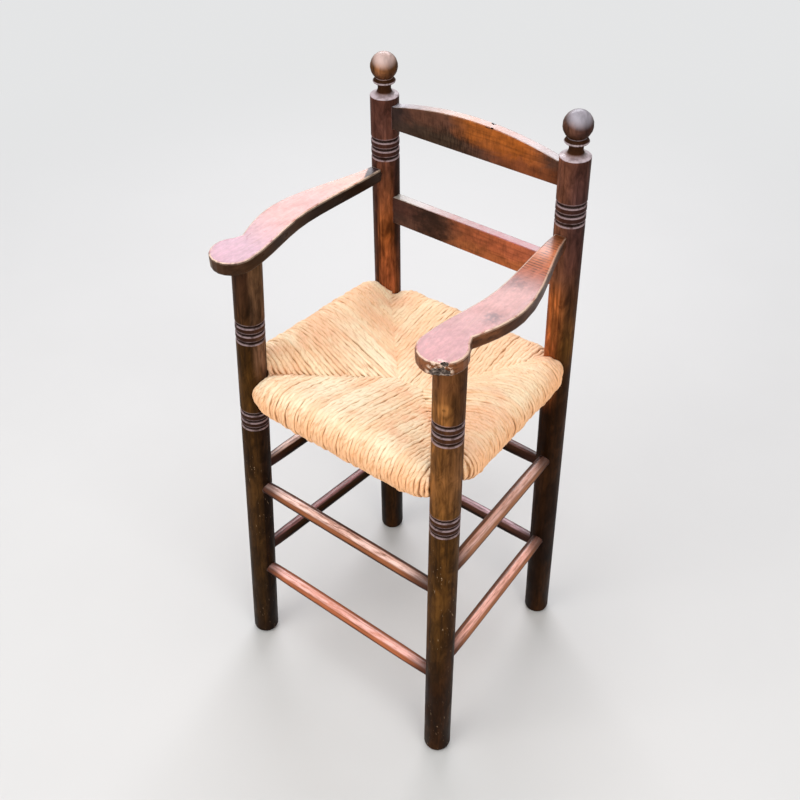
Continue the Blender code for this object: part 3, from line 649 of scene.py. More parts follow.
# Colours of the wood
BLACK = (0.01, 0.0045, 0.0025)
DARK = (0.026, 0.0095, 0.0028)
UMBER = (0.056, 0.0235, 0.0048)
BROWN = (0.098, 0.04, 0.0085)
TAN = (0.2, 0.078, 0.02)
RED = (0.19, 0.058, 0.02)
ORANGE = (0.33, 0.092, 0.022)
PLUM = (0.07, 0.026, 0.018)
SMOKE = (0.03, 0.017, 0.0145)
DUSK = (0.105, 0.044, 0.027)
LILAC = (0.42, 0.31, 0.32)
BARE = (0.6, 0.4, 0.24)
PALE_EDGE = (0.78, 0.58, 0.44)
GROOVE_DARK = (0.03, 0.012, 0.009)
LEDGE_SHEEN = (0.5, 0.4, 0.43)
COLLAR_HIGHLIGHT = (0.48, 0.39, 0.41)
RUNG_STAIN = (0.03, 0.012, 0.01)
RUNG_END = (0.04, 0.017, 0.013)
RIPPLE_STAIN = (0.08, 0.022, 0.01)
GRIME = (0.07, 0.034, 0.04)
WHITTLED_SHADE = (0.03, 0.016, 0.018)
SPLINTERS = [(0.38, (0.016, 0.011, 0.009)), (0.5, (0.085, 0.062, 0.05)), (0.59, (0.26, 0.2, 0.165)),
             (0.68, (0.66, 0.54, 0.45))]

# Colours of the rush
STRAW = (0.93, 0.625, 0.385)
STRAW_PALE = (0.97, 0.8, 0.56)
STRAW_FADED = (0.98, 0.88, 0.65)
STRAW_ROSY = (0.92, 0.54, 0.33)
STRAW_ORANGE = (0.88, 0.52, 0.31)
STRAW_BEHIND = (0.83, 0.545, 0.335)
STRAW_ROLL = (0.92, 0.48, 0.238)
FIBRE_DARK = (0.68, 0.38, 0.19)
FIBRE_PALE = (0.98, 0.86, 0.65)
FIBRE_ROLL = (0.6, 0.28, 0.11)
VALLEY_SHADE = (0.62, 0.33, 0.152)
VALLEY_SHADE_DEEP = (0.44, 0.212, 0.09)
CREASE_SHADE = (0.14, 0.06, 0.022)

# Places and directions on the chair
# the way to the sky: the balls' painted highlight faces it and their painted shade faces away
SKY = Vector((0.28, -0.34, 0.9))
CHIP = (0.1725, -0.1752, 0.72)  # the broken place on the right arm's front edge
KNOT = (0.1645, -0.1516, 0.649)
WHITTLE_WAY = (0.885, 0.466, 0.0)  # square to the edge of the left arm's whittled end
FLAME_WAVES = 30.0
FLAME_ZONE = (0.54, 0.6, 0.74, 0.79)
RIPPLE_WAVES = 1250.0  # of the right arm's marks, in radians per metre
RIPPLE_ZONE = (0.12, 0.165, 0.24, 0.272)


def grain(look, across, along):
    """Fine streaks along the grain, about 0 to 1."""
    return look.noise((across, across, along), 4, 0.6)


def paint_grooves(look, post, height, rub):
    """Darker wood over a group of grooves, painted shade in the scoops, and a painted sheen on their lips,
    broken by rubbed patches.
    """
    for middle in GROOVE_GROUPS[post.front]:
        centre = middle * post.slope.length
        away = look.math("ABSOLUTE", look.minus(height, centre))
        look.paint_where(GROOVE_DARK, away, GROOVE_PITCH + 0.0015, GROOVE_PITCH, 0.74)
        for turn in (-1.0, 0.0, 1.0):
            rise = look.minus(height, centre + turn * GROOVE_PITCH)
            lip = look.band(rise, -0.004, -0.0032, -0.0022, -0.0014)
            crest = look.times(look.band(rise, 0.0024, 0.0029, 0.0035, 0.0042), 0.5)
            # painted shade in the scoop
            look.paint(BLACK, look.band(rise, -0.0024, -0.0016, 0.002, 0.003), 0.8)
            # painted sheen on the lips, broken by rubbed patches
            look.paint(LILAC, look.plus(lip, crest), look.span(rub, 0.0, 1.0, 0.35, 1.0), 0.62)


def paint_finial(look, lie, rub, cloud, gleam, gleam_share, shadow):
    """Painted sheen on the shoulder's ledge and a painted highlight on the collar's rim, both broken by rubbed
    patches, painted shade on the neck, the collar and the ball's side away from the sky, and a painted
    highlight on the ball towards the sky. Gives their gloss.
    """
    across, deep, height = lie
    reach = look.math("SQRT", look.plus(look.times(across, across), look.times(deep, deep)))
    shoulder = look.span(height, *SHOULDER)
    ball = look.span(height, *BALL)
    stem = look.band(height, *NECK, *BALL)
    ledge = look.times(look.facing(UP, 0.45, 0.88), shoulder, look.span(height, *LEDGE_END),
                       look.span(rub, 0.0, 1.0, 0.6, 1.0))
    collar = look.times(look.span(reach, 0.0143, 0.0149), look.span(height, *COLLAR),
                        look.span(rub, 0.0, 1.0, 0.5, 1.0))
    # painted shade on the neck and the collar, under the ball
    look.paint(DARK, stem, 0.85)
    # painted shade on the ball's side away from the sky
    look.paint(DARK, look.facing(SKY, shadow, shadow - 0.7), ball, 0.8)
    # painted sheen on the shoulder's ledge
    look.paint(LEDGE_SHEEN, ledge, look.span(reach, 0.01, 0.0165, 0.3, 0.95))
    # painted highlight on the collar's rim
    look.paint(COLLAR_HIGHLIGHT, collar, stem, 0.75)
    # painted highlight on the ball, towards the sky
    look.paint(gleam, look.facing(SKY, 0.38, 0.96), look.span(cloud, 0.3, 0.6, 0.55, 1.0), ball, gleam_share)
    return look.times(look.facing(UP, 0.05, 0.7), shoulder, look.span(ball, 0.0, 1.0, 1.0, 0.45),
                      look.span(stem, 0.0, 1.0, 1.0, 0.0))


def post_wood(key, tones, warm_tones, warm_side, fade=(-0.15, 0.85), specks=0.0, flame=0.0, spots=(), ball_highlight_and_shade=None):
    """Turned post: tones by height, warmer ones on the side that is less stained, grooves, and perhaps a
    finial, with painted shade, sheen and highlights on the grooves and the finial.
    """
    post = POSTS[key]
    look = Look(key + "_wood", specular=0.02, coat_roughness=0.3)
    lie = look.lay(post.foot, post.at(1.0))
    height = lie[2]
    fine = grain(look, 260, 9)
    cloud = look.noise((30, 30, 7), 4, 0.6, 0.6)
    patch = look.noise((95, 95, 30), 4, 0.65, 0.8)
    streak = look.noise((46, 46, 8), 3, 0.6, 1.0)
    rub = look.span(look.noise((140, 140, 140)), 0.32, 0.58)
    side = look.facing(Vector(warm_side).normalized(), *fade)
    side = look.times(side, look.span(streak, 0.28, 0.56, 0.3, 1.0))
    look.colour = look.mix(side, look.ramp(height, tones), look.ramp(height, warm_tones))
    if flame:
        figure = look.noise((24, 24, 5), 2, 0.5, 1.4)
        waves = look.math("SINE", look.times(figure, FLAME_WAVES))
        look.paint(DARK, look.span(waves, -0.5, 0.9), flame, look.band(height, *FLAME_ZONE))
    look.shade(cloud, 0.45, 1.6)
    look.shade(patch, 0.5, 1.55)
    look.paint_where(BLACK, fine, 0.46, 0.72, 0.6)
    for point, radius, tone, share in spots:
        ragged = look.times(look.span(fine, 0.62, 0.42, 0.5, 1.0), look.span(patch, 0.34, 0.54, 0.7, 1.0))
        look.paint(tone, look.near(point, radius, 0.3), ragged, share)
    if specks:
        dots = look.span(look.noise((430, 430, 120), 3, 0.6), 0.66, 0.74)
        patches = look.span(look.noise((38, 38, 9), 2), 0.4, 0.62)
        look.paint(BARE, dots, patches, look.span(height, 0.5, 0.45), specks)
    paint_grooves(look, post, height, rub)
    gloss = paint_finial(look, lie, rub, cloud, *ball_highlight_and_shade) if ball_highlight_and_shade else 0.0
    look.paint(LILAC, look.worn_edge(0.0012), rub, 0.25)
    bumps = look.plus(look.times(fine, 0.5), look.noise((120, 120, 40), 2))
    return look.finish(look.uneven((70, 70, 22), 0.34, 0.52), bumps, 0.14, 0.0008, gloss)


def rung_wood(name, ends, lit, shine, middle, low, rim=0.0, mottle=0.2, stained=0.062):
    """Swelled rung: a painted highlight along one line and painted shade on the side away from it, stained on
    its far upper side, and darker ends, partly stained and partly painted shade where they meet the posts.
    """
    look = Look(name, specular=0.03, coat_roughness=0.22)
    lit = Vector(lit).normalized()
    along = look.lay(*ends)[2]
    half = 0.5 * (ends[1] - ends[0]).length
    fine = grain(look, 420, 11)
    cloud = look.noise((80, 80, 13), 4, 0.65, 0.6)
    speck = look.noise((360, 360, 45), 3, 0.65)
    # painted shade: the low tone on the side that faces away from the light
    look.colour = look.mix(look.facing(lit, 0.58, 0.05), middle, low)
    look.shade(cloud, 0.7, 1.25)
    # painted highlight along the side that faces the light
    look.paint(shine, look.facing(lit, 0.8, 0.97), look.span(cloud, 0.66, 0.46, 0.45, 1.0),
               look.span(speck, 0.66, 0.44, 0.45, 1.0))
    dark = look.span(cloud, 0.7 - 0.34 * mottle, 0.8 - 0.28 * mottle, 0.0, 0.75)
    look.paint(DARK, dark, look.span(speck, 0.36, 0.56))
    look.paint_where(DARK, fine, 0.5, 0.72, 0.55)
    if rim:
        far = Vector((-1.9 * lit.x, -1.9 * lit.y, lit.z)).normalized()
        look.paint(RUNG_STAIN, look.facing(far, 0.87, 0.95), look.span(cloud, 0.36, 0.54, 0.55, 1.0), rim)
    # darker ends: partly stained, partly painted shade where the rung meets the posts
    reach = look.math("ABSOLUTE", look.minus(along, half))
    ragged = look.plus(reach, look.times(look.minus(cloud, 0.5), 0.03))
    look.paint_where(RUNG_END, ragged, half - stained, half - 0.02, 0.85)
    gloss = look.times(look.facing(lit, 0.55, 0.95), 0.5)
    return look.finish(look.uneven((120, 120, 30), 0.28, 0.44), fine, 0.16, 0.0006, gloss)


def rail_wood():
    look = Look("plain_rail_wood", specular=0.3)
    fine = look.noise((60, 60, 300), 4)
    look.colour = look.mix(look.span(fine, 0.3, 0.7), (0.2, 0.1, 0.05), (0.34, 0.19, 0.09))
    return look.finish(look.span(fine, 0.3, 0.7, 0.55, 0.75), fine, 0.2, 0.0006)


def paint_right_marks(look, along, shine):
    """The right arm's ripple marks, two grimy spots, and painted shade on its rear end where it meets the post.
    Gives the shine that they leave.
    """
    waves = look.math("SINE", look.times(along, RIPPLE_WAVES))
    broken = look.span(look.noise((70, 70, 50)), 0.38, 0.62)
    look.paint(RIPPLE_STAIN, look.span(waves, -0.1, 1.0), look.band(along, *RIPPLE_ZONE), broken, 0.85)
    grime = look.span(look.noise((150, 150, 150)), 0.3, 0.58)
    front_spot = look.times(look.near((0.173, -0.0747, 0.737), 0.019, 0.15), grime)
    rear_spot = look.times(look.near((0.158, -0.004, 0.74), 0.024, 0.1), grime)
    spots = look.most(front_spot, look.times(rear_spot, 0.7))
    look.paint(GRIME, spots, 0.7)
    # painted shade where the arm meets the rear post
    look.paint_where(DARK, along, 0.2, 0.244, 0.85)
    shine = look.less(shine, spots, 0.35)
    return look.times(shine, look.span(along, 0.16, 0.24, 1.0, 0.6), look.span(along, 0.262, 0.225))


def paint_left_marks(look, cloud, shine):
    """The left arm's whittled end, which is not modelled, painted dark as its shade. Gives the shine that it
    leaves.
    """
    inner = look.vector("DOT_PRODUCT", look.place, WHITTLE_WAY)
    whittled = look.span(look.plus(inner, look.times(cloud, 0.004)), -0.0868, -0.0838)
    # painted shade on the whittled end
    look.paint(WHITTLED_SHADE, whittled)
    return look.less(shine, whittled, 0.7)


def arm_wood(side, paddle, top, tail, flank):
    """Shaped arm: glossy rubbed top from paddle to tail, dark flanks, bare wood along the rims."""
    right = side == "right"
    look = Look(side + "_arm_wood", specular=0.08)
    along = look.lay(*(POSTS[key].at(ARM_Z[POSTS[key].front]) for key in SIDE_POSTS[side]))[2]
    fine = grain(look, 300, 10)
    cloud = look.noise((34, 34, 12), 4, 0.6)
    mottle = look.noise((210, 210, 110), 4, 0.65)
    fading = ((-0.04, 1.35 if right else 1.0), (0.06, 0.9), (0.17, 0.52))
    look.colour = look.ramp(along, [(at, tuple(share * value for value in flank)) for at, share in fading])
    look.shade(cloud, 0.35, 1.65)
    look.paint_where(DARK, fine, 0.45, 0.7, 0.7)
    flanks = look.colour
    look.colour = look.ramp(along, [(-0.05, paddle), (0.0, paddle), (0.07, top), (0.13, top), (0.19, tail),
                                    (0.3, tail)])
    look.shade(cloud, 0.8, 1.12)
    look.shade(mottle, 0.78, 1.2)
    look.paint_where(tuple(0.4 * value for value in tail), fine, 0.5, 0.75, 0.3)
    shine = look.span(look.noise((60, 60, 24)), 0.3, 0.62, 0.8, 1.0)
    shine = look.times(shine, look.span(mottle, 0.34, 0.58, 0.88, 1.0), 1.0 if right else 0.86)
    if right:
        shine = paint_right_marks(look, along, shine)
    else:
        shine = paint_left_marks(look, cloud, shine)
    look.colour = look.mix(look.facing(UP, 0.75, 0.95), flanks, look.colour)
    rub = look.span(look.noise((110, 110, 60)), 0.34, 0.52, 0.25, 1.0)
    slope = look.times(look.facing(UP, 0.3, 0.55), look.facing(UP, 0.985, 0.9))
    rim = look.times(look.most(slope, look.worn_edge(0.0016)), look.facing(UP, 0.15, 0.4))
    look.paint(PALE_EDGE, rim, rub, look.span(along, 0.12, 0.22, 0.9, 0.4 if right else 0.9))
    bumps = look.plus(fine, look.times(cloud, 1.5))
    if right:
        cut = look.attribute("cut")
        grit = look.noise((150, 150, 420), 4, 0.65, place=look.place)
        torn = look.span(look.noise((190, 190, 190)), 0.46, 0.58)
        look.paint(PALE_EDGE, look.near(CHIP, 0.0175, 0.75), torn, 0.75)
        look.paint(look.ramp(grit, SPLINTERS), cut)
        bumps = look.plus(bumps, look.times(cut, grit, 6.0))
        shine = look.less(shine, cut)
    else:
        look.paint(BARE, look.near((-0.186, -0.171, 0.722), 0.02, 0.3), rub, 0.85)
    gloss = look.times(look.facing(UP, 0.6, 0.95), shine)
    return look.finish(look.uneven((90, 90, 40), 0.26, 0.4), bumps, 0.1, 0.0008, gloss)


def slat_wood(name, z, fronts, lows, tops_with_sheen, upper):
    """Back slat: stained ends, lighter middle, glossy top edge with a painted sheen in its colours, and bare
    wear along its edges. The colours run from left to right.
    """
    look = Look(name, specular=0.06, coat_roughness=0.22)
    across, _, rise = look.split(look.place)
    cloud = look.noise((22, 30, 44), 4, 0.62, 0.6)
    patch = look.noise((75, 75, 95), 4, 0.62)
    fine = look.noise((620, 60, 90), 3, 0.6)
    streaks = look.noise((12, 60, 300), 3, 0.6)
    wander = look.minus(cloud, 0.5)
    shift = look.plus(across, look.times(wander, 0.06))
    level = look.plus(rise, look.times(wander, 0.04))
    low = look.span(level, z + 0.006, z - 0.012)
    look.colour = look.mix(low, look.ramp(shift, fronts), look.ramp(shift, lows))
    look.shade(patch, 0.7, 1.3)
    look.paint_where(BLACK, fine, 0.46, 0.7, 0.26)
    look.paint_where(DARK, streaks, 0.5, 0.72, 0.34)
    if upper:
        hatch = look.span(fine, 0.44, 0.6, 0.25, 1.0)
        zone = look.times(look.band(shift, -0.09, -0.05, -0.01, 0.03), look.span(level, z + 0.016, z - 0.004))
        look.paint(BLACK, zone, hatch, 0.55)
    else:
        ragged = look.times(look.minus(patch, 0.5), 0.055)
        distance = look.plus(look.vector("DISTANCE", look.place, (-0.06, 0.128, z + 0.004)), ragged)
        look.paint_where(BLACK, distance, 0.05, 0.006, 0.75)
    look.paint_where(DARK, level, z - 0.018, z - 0.026, 0.35)
    up = look.facing(UP, 0.6, 0.9)
    # painted sheen: the top edge's pale and lilac colours
    look.paint(look.shaded(look.ramp(across, tops_with_sheen), patch, 0.7, 1.2), up, 0.95)
    rub = look.span(look.noise((120, 120, 120)), 0.42, 0.6)
    look.paint(BARE, look.worn_edge(0.0014), rub, 0.55)
    gloss = look.times(up, look.span(patch, 0.3, 0.7, 0.85, 0.5))
    if upper:
        cut = look.attribute("cut")
        look.paint(BLACK, cut)
        gloss = look.less(gloss, cut)
    rough = look.uneven((60, 60, 60), 0.3, 0.46)
    return look.finish(rough, look.plus(fine, streaks), 0.1, 0.0006, gloss)


def rush_straw():
    """Straw with patches and fibres, browner rolls that are partly painted shade, and painted shade in the
    valleys between the strands.
    """
    look = Look("twisted_rush", specular=0.12)
    edge = look.attribute("edge")
    along, around = look.split(look.node("UVMap", {}, uv_map="OFBake"))[:2]
    wound = look.plus(look.times(around, 340.0), look.times(along, 26.0))
    leaf = look.node("CombineXYZ", {0: look.times(along, 20.0), 1: wound})
    fibre = look.noise((1, 1, 1), 3, 0.6, place=leaf)
    patch = look.noise((17, 17, 17), 3, 0.6)
    rosy = look.noise((11, 15, 11), 3, 0.6, 0.5)
    bleach = look.plus(look.times(look.attribute("tint"), 0.4), look.times(patch, 0.85))
    look.colour = look.mix(look.span(bleach, 0.3, 0.92), STRAW, STRAW_PALE)
    look.paint_where(STRAW_ROSY, rosy, 0.44, 0.64, 0.8)
    middle = look.near((-0.055, -0.005, 0.52), 0.085, 0.1)
    front = look.near((-0.04, -0.095, 0.54), 0.09, 0.1)
    look.paint(STRAW_FADED, look.most(middle, front), look.span(bleach, 0.35, 0.7), 0.8)
    behind = look.times(look.near((0.01, 0.112, 0.54), 0.12, 0.3), 0.75)
    look.paint(STRAW_BEHIND, behind)
    corner = look.near((-0.095, 0.085, 0.54), 0.095, 0.2)
    look.paint(STRAW_ORANGE, corner, look.span(rosy, 0.36, 0.58), 0.55)
    look.paint_where(FIBRE_DARK, fibre, 0.52, 0.68, 0.58)
    look.paint_where(FIBRE_PALE, fibre, 0.44, 0.28, 0.45)
    # browner rolls: partly the straw's own orange, partly painted shade on their outer and lower curve
    look.paint_where(STRAW_ROLL, edge, 0.12, 0.5, 0.78)
    rounded = look.band(edge, 0.1, 0.35, 0.75, 0.95)
    look.paint(FIBRE_ROLL, look.span(fibre, 0.48, 0.62), rounded, 0.42)
    # painted shade on the strands' flanks, in the valleys between them, deeper on the rolls and at the back
    valley_shade_depth = look.most(rounded, look.times(behind, 1.25))
    flank = look.span(look.attribute("flank"), 0.6, 1.0)
    look.paint(look.mix(valley_shade_depth, VALLEY_SHADE, VALLEY_SHADE_DEEP), flank, look.span(valley_shade_depth, 0.0, 1.0, 0.42, 0.95))
    return look.finish(look.span(fibre, 0.3, 0.7, 0.55, 0.75), fibre, 0.3, 0.0005)


def rush_filling():
    look = Look("rush_filling", specular=0.1)
    patch = look.noise((240, 240, 240))
    # the lining's brown is painted shade, seen in the gaps between the strands
    look.colour = look.mix(look.span(patch, 0.3, 0.7), (0.5, 0.26, 0.115), (0.66, 0.385, 0.19))
    # painted shade, darker into the creases
    look.paint_where(CREASE_SHADE, look.attribute("deep"), 0.1, 0.9, 0.8)
    return look.finish(look.span(patch, 0.3, 0.7, 0.8, 0.95), patch, 0.3, 0.0008)


def soft_shading(turn):
    """Modifier tree that shades a solid smooth up to that angle between its faces."""
    tree = bpy.data.node_groups.new("soft_shading", "GeometryNodeTree")
    tree.interface.new_socket("Geometry", in_out="INPUT", socket_type="NodeSocketGeometry")
    tree.interface.new_socket("Geometry", in_out="OUTPUT", socket_type="NodeSocketGeometry")

    def add(kind, domain=None, **inputs):
        made = tree.nodes.new("GeometryNode" + kind)
        if domain:
            made.domain = domain
        for name, value in inputs.items():
            made.inputs[name.replace("_", " ")].default_value = value
        return made

    sharpen = add("SetShadeSmooth", "EDGE", Shade_Smooth=False)
    steps = [
        add("RemoveAttribute", Name="custom_normal"),
        add("MergeByDistance", Distance=WELD),
        add("SetShadeSmooth", "FACE"),
        add("SetShadeSmooth", "EDGE"),
        sharpen,
    ]
    flow = tree.nodes.new("NodeGroupInput").outputs[0]
    for step in steps:
        tree.links.new(flow, step.inputs[0])
        flow = step.outputs[0]
    tree.links.new(flow, tree.nodes.new("NodeGroupOutput").inputs[0])
    crisp = tree.nodes.new("FunctionNodeCompare")
    crisp.data_type = "FLOAT"
    crisp.operation = "GREATER_THAN"
    crisp.inputs[1].default_value = turn
    tree.links.new(add("InputMeshEdgeAngle").outputs["Unsigned Angle"], crisp.inputs[0])
    tree.links.new(crisp.outputs[0], sharpen.inputs["Selection"])
    return tree


ROUND = soft_shading(math.radians(35.0))
CRISP = soft_shading(math.radians(16.0))


def wear(node, material):
    mesh = nodes[node].data
    mesh.materials.clear()
    mesh.materials.append(material)
    turned = "post" in node or "rung" in node
    nodes[node].modifiers.new("soft_shading", "NODES").node_group = ROUND if turned else CRISP


# Posts: tones by height, warmer tones, the side that has them; on the rear posts, the ball's painted highlight,
# its share and where its painted shade begins
wear("front_post_left", post_wood(
    "front_left",
    [(0.0, BLACK), (0.06, (0.034, 0.015, 0.004)), (0.4, (0.044, 0.019, 0.005)), (0.56, UMBER),
     (0.66, (0.034, 0.014, 0.006)), (0.74, (0.027, 0.011, 0.006))],
    [(0.0, BLACK), (0.4, BLACK), (0.53, DARK), (0.57, (0.19, 0.095, 0.055)), (0.74, (0.15, 0.076, 0.033))],
    (0.98, 0.2, 0.0), (0.45, 0.95), specks=0.6))
wear("front_post_right", post_wood(
    "front_right",
    [(0.0, BLACK), (0.06, DARK), (0.2, DARK), (0.46, UMBER), (0.54, (0.14, 0.06, 0.022)),
     (0.66, (0.105, 0.041, 0.014)), (0.74, (0.085, 0.033, 0.012))],
    [(0.0, DARK), (0.14, DARK), (0.25, UMBER), (0.46, BROWN), (0.54, TAN), (0.64, TAN),
     (0.68, (0.105, 0.039, 0.013)), (0.74, (0.085, 0.034, 0.01))],
    (-0.3, -0.9, 0.0), specks=1.0,
    spots=[(KNOT, 0.012, (0.44, 0.18, 0.05), 0.9), (KNOT, 0.0028, DARK, 0.85)]))
wear("rear_post_left", post_wood(
    "rear_left",
    [(0.0, BLACK), (0.45, DARK), (0.56, (0.12, 0.036, 0.012)), (0.64, (0.06, 0.02, 0.01)),
     (0.74, (0.042, 0.016, 0.011)), (0.78, PLUM), (0.85, PLUM), (0.9, BROWN)],
    [(0.0, DARK), (0.45, UMBER), (0.56, (0.46, 0.128, 0.046)), (0.64, ORANGE), (0.68, RED),
     (0.74, (0.13, 0.045, 0.024)), (0.8, (0.062, 0.025, 0.018)), (0.85, PLUM), (0.9, (0.27, 0.112, 0.042))],
    (0.58, -0.81, 0.0), (0.7, 0.99), flame=0.45, ball_highlight_and_shade=((0.62, 0.45, 0.41), 0.92, 0.02)))
wear("rear_post_right", post_wood(
    "rear_right",
    [(0.0, DARK), (0.125, DARK), (0.14, BLACK), (0.45, DARK), (0.53, DARK), (0.57, BROWN),
     (0.64, (0.1, 0.038, 0.014)), (0.7, PLUM), (0.78, (0.042, 0.019, 0.017)), (0.85, PLUM),
     (0.9, (0.054, 0.027, 0.021))],
    [(0.0, BLACK), (0.45, DARK), (0.55, (0.37, 0.102, 0.03)), (0.645, ORANGE), (0.68, (0.11, 0.042, 0.021)),
     (0.84, (0.12, 0.045, 0.026)), (0.9, (0.07, 0.033, 0.022))],
    (-0.75, -0.65, 0.0), ball_highlight_and_shade=((0.41, 0.385, 0.44), 0.8, 0.34)))

# Rungs: where the painted highlight lies, its colour, their middle tone and the tone of the painted shade away
# from it, and their stains, mottling and darker ends
RUNG_LIT = {"front": (0.0, -0.33, 0.94), "back": (0.0, -0.05, 1.0), "left": (0.05, 0.0, 1.0),
            "right": (0.33, 0.0, 0.94)}
for side, row, shine, middle, low, stains in (
        ("front", "lower", (1.0, 0.56, 0.49), (0.46, 0.138, 0.058), (0.05, 0.016, 0.005), (0.28, 0.1)),
        ("front", "upper", (1.0, 0.7, 0.62), (0.32, 0.11, 0.046), BLACK, (0.85, 0.42, 0.075)),
        ("back", "lower", (0.66, 0.42, 0.47), (0.08, 0.032, 0.02), BLACK, ()),
        ("back", "upper", (0.26, 0.14, 0.14), (0.04, 0.016, 0.008), BLACK, ()),
        ("left", "lower", (0.34, 0.15, 0.15), DARK, BLACK, ()),
        ("left", "upper", (0.92, 0.66, 0.57), DARK, BLACK, ()),
        ("right", "lower", (0.92, 0.48, 0.39), (0.34, 0.128, 0.062), DARK, (0.7, 0.25, 0.07)),
        ("right", "upper", (0.76, 0.47, 0.4), (0.34, 0.146, 0.076), DARK, (0.7, 0.25, 0.07))):
    rung_z = RUNG_Z[row] + (SIDE_RUNG_RISE if side in ("left", "right") else 0.0)
    ends = [POSTS[key].at(rung_z) for key in SIDE_POSTS[side]]
    wear(side + "_rung_" + row, rung_wood(
        side + "_rung_wood_" + row, ends, RUNG_LIT[side], shine, middle, low, *stains))

# Rails, arms and slats
plain_wood = rail_wood()
for side in SIDE_POSTS:
    wear("seat_rail_" + side, plain_wood)
# The left paddle's lilac tint is partly a painted reflection of the sky
wear("arm_left", arm_wood("left", (0.31, 0.092, 0.145), (0.42, 0.1, 0.06), (0.44, 0.125, 0.045),
                          (0.04, 0.017, 0.0075)))
wear("arm_right", arm_wood("right", (0.34, 0.075, 0.072), (0.37, 0.1, 0.07), (0.6, 0.18, 0.066),
                           (0.122, 0.042, 0.015)))
wear("back_slat_upper", slat_wood(
    "upper_slat_wood", 0.822,
    [(-0.15, SMOKE), (-0.11, SMOKE), (-0.085, DUSK), (-0.04, DUSK), (0.0, (0.31, 0.088, 0.017)),
     (0.07, (0.35, 0.092, 0.014)), (0.095, ORANGE), (0.115, DUSK), (0.14, (0.06, 0.028, 0.018))],
    [(-0.15, SMOKE), (-0.04, (0.056, 0.034, 0.021)), (0.01, DUSK), (0.05, (0.165, 0.046, 0.016)),
     (0.1, (0.18, 0.05, 0.016)), (0.14, (0.06, 0.024, 0.013))],
    [(-0.15, (0.1, 0.09, 0.11)), (-0.115, (0.4, 0.37, 0.4)), (-0.05, (0.32, 0.18, 0.13)),
     (0.0, (0.36, 0.14, 0.065)), (0.05, (0.34, 0.16, 0.12)), (0.09, (0.46, 0.34, 0.33)),
     (0.15, (0.3, 0.27, 0.27))], True))
wear("back_slat_lower", slat_wood(
    "lower_slat_wood", 0.678,
    [(-0.15, (0.05, 0.02, 0.015)), (-0.1, (0.075, 0.028, 0.018)), (-0.045, DUSK),
     (-0.01, (0.25, 0.07, 0.028)), (0.05, (0.39, 0.1, 0.04)), (0.14, (0.39, 0.105, 0.054))],
    [(-0.15, SMOKE), (-0.09, DUSK), (-0.045, DUSK), (-0.01, (0.32, 0.098, 0.034)), (0.05, (0.31, 0.088, 0.03)),
     (0.14, (0.54, 0.16, 0.055))],
    [(-0.15, (0.22, 0.21, 0.17)), (-0.09, (0.4, 0.33, 0.3)), (-0.04, (0.3, 0.12, 0.1)),
     (0.0, (0.26, 0.064, 0.06)), (0.05, (0.31, 0.08, 0.09)), (0.15, (0.44, 0.2, 0.21))], False))

# Chipped edges: the middle of each bite, the way out of the wood, and its size
for node, slot, bites in (
        ("arm_right", "arms", [
            (CHIP, (0.48, -0.877, -0.1), (0.013, 0.0088, 0.004)),
            ((0.1772, -0.1716, 0.7334), (0.56, -0.828, 0.3), (0.0044, 0.003, 0.0032))]),
        ("back_slat_upper", "slats", [
            ((0.025, 0.1342, 0.8484), (0.0, 0.5, 0.87), (0.0034, 0.0026, 0.0022)),
            ((0.0296, 0.1237, 0.8472), (0.0, -0.75, 0.66), (0.0018, 0.0014, 0.0013))])):
    worn = bitten(node, bites)
    worn.modifiers.new("soft_shading", "NODES").node_group = CRISP
    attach(worn, "root")
    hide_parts(node)

# Rush
PANELS = [
    Panel("front", END_RAIL_Z, (0.0, -1.0, 0.0)),
    Panel("back", END_RAIL_Z, (0.0, 1.0, 0.0)),
    Panel("left", SIDE_RAIL_Z, (-1.0, 0.0, 0.0)),
    Panel("right", SIDE_RAIL_Z, (1.0, 0.0, 0.0)),
]
FIRST_SEED = 11
straw = rush_straw()
rush = [strands(panel, FIRST_SEED + number) for number, panel in enumerate(PANELS)]
for piece in rush:
    piece.data.materials.append(straw)
lining = filling(PANELS)
lining.data.materials.append(rush_filling())
for piece in rush + [lining]:
    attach(piece, "root")
    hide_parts("rush_seat")

# Floor and backdrop
HORIZON = (0.78, 0.785, 0.79)
STUDIO = (0.342, 0.349, 0.36)
FLOOR_REACH = 9.0
FLOOR_Z = -0.0005


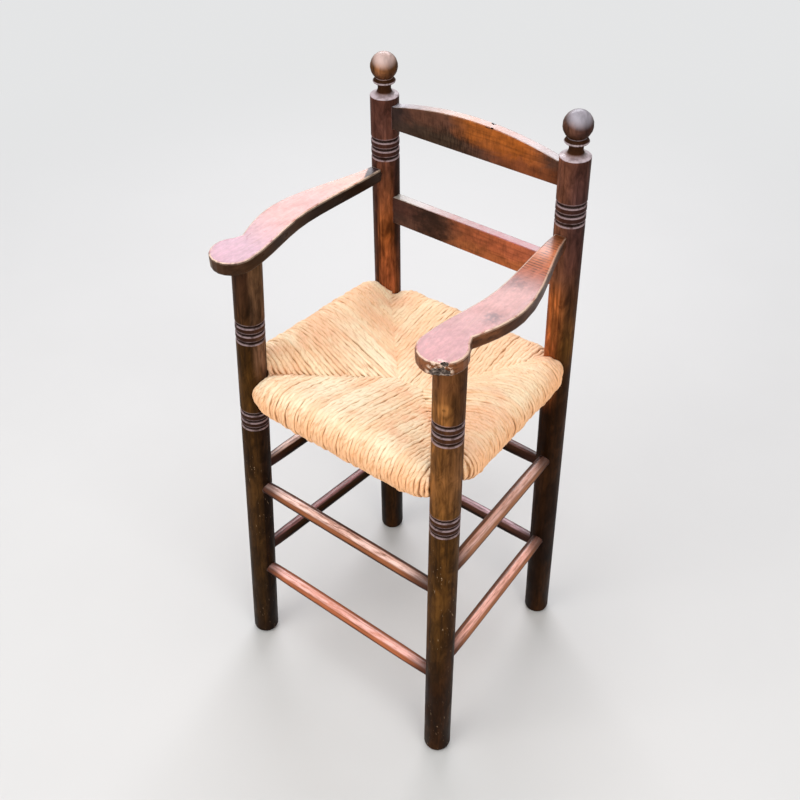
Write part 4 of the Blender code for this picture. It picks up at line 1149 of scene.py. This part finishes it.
def pale_floor():
    """Floor that fades into the backdrop's colour away from the chair."""
    corners = [(x * FLOOR_REACH, y * FLOOR_REACH, 0.0) for x, y in ((-1, -1), (1, -1), (1, 1), (-1, 1))]
    made = new_mesh("floor", corners, [(0, 1, 2, 3)])
    made.location.z = FLOOR_Z
    look = Look("pale_floor", specular=0.1)
    mottle = look.noise((3, 3, 3))
    look.colour = look.mix(mottle, (0.6, 0.595, 0.585), (0.64, 0.635, 0.625))
    made.data.materials.append(look.finish(look.span(mottle, 0.3, 0.7, 0.7, 0.85)))
    far = look.span(look.vector("DISTANCE", look.place, (0.0, 0.0, 0.0)), 0.8, 2.6)
    glow = look.node("Emission", {"Color": HORIZON})
    share = look.times(look.seen_directly(), far)
    faded = look.node("MixShader", {0: share, 1: look.shader.outputs[0], 2: glow})
    look.feed(look.tree.nodes["Material Output"].inputs["Surface"], faded)
    return made


def studio_world():
    made = bpy.data.worlds.new("studio")
    sky = Nodes(made)
    colour = sky.mix(sky.seen_directly(), STUDIO, HORIZON)
    sky.feed(sky.tree.nodes["Background"].inputs["Color"], colour)
    return made


floor = pale_floor()
scene.world = studio_world()

# Light
COOL = (0.96, 0.95, 1.0)
WHITE = (1.0, 1.0, 1.0)
WARM = (1.0, 0.98, 0.95)


def aimed(made, place, target):
    """Sets a lamp or a camera at a place, turned to the target."""
    made.location = place
    made.rotation_euler = (Vector(target) - Vector(place)).to_track_quat("-Z", "Y").to_euler()
    scene.collection.objects.link(made)


def soft_lamp(name, place, aim_z, width, depth, power, colour, mirrored):
    lamp = bpy.data.lights.new(name, "AREA")
    lamp.shape = "RECTANGLE"
    lamp.size = width
    lamp.size_y = depth
    lamp.energy = power
    lamp.color = colour
    made = bpy.data.objects.new(name, lamp)
    made.visible_glossy = mirrored
    aimed(made, place, (0.0, 0.0, aim_z))


soft_lamp("sky_behind", (-1.55, 2.05, 2.55), 0.6, 2.3, 1.7, 80.0, COOL, True)
soft_lamp("sky_above", (0.2, -0.6, 3.4), 0.5, 3.0, 3.0, 50.0, WHITE, True)
soft_lamp("front_fill", (-0.9, -3.0, 1.9), 0.5, 2.6, 2.0, 54.0, WARM, False)
soft_lamp("right_fill", (2.8, -1.1, 1.5), 0.5, 2.0, 1.8, 42.0, WARM, False)

# Camera at the photograph's angle
EYE = Vector((0.6519, -0.8573, 1.3773))
TARGET = Vector((-0.0145, -0.0092, 0.4804))
lens = bpy.data.cameras.new("camera")
lens.sensor_width = 36.0
lens.lens = 45.23
lens.shift_x = 0.0042
lens.shift_y = -0.0006
camera = bpy.data.objects.new("camera", lens)
aimed(camera, EYE, TARGET)
scene.camera = camera
scene.view_settings.view_transform = "Standard"
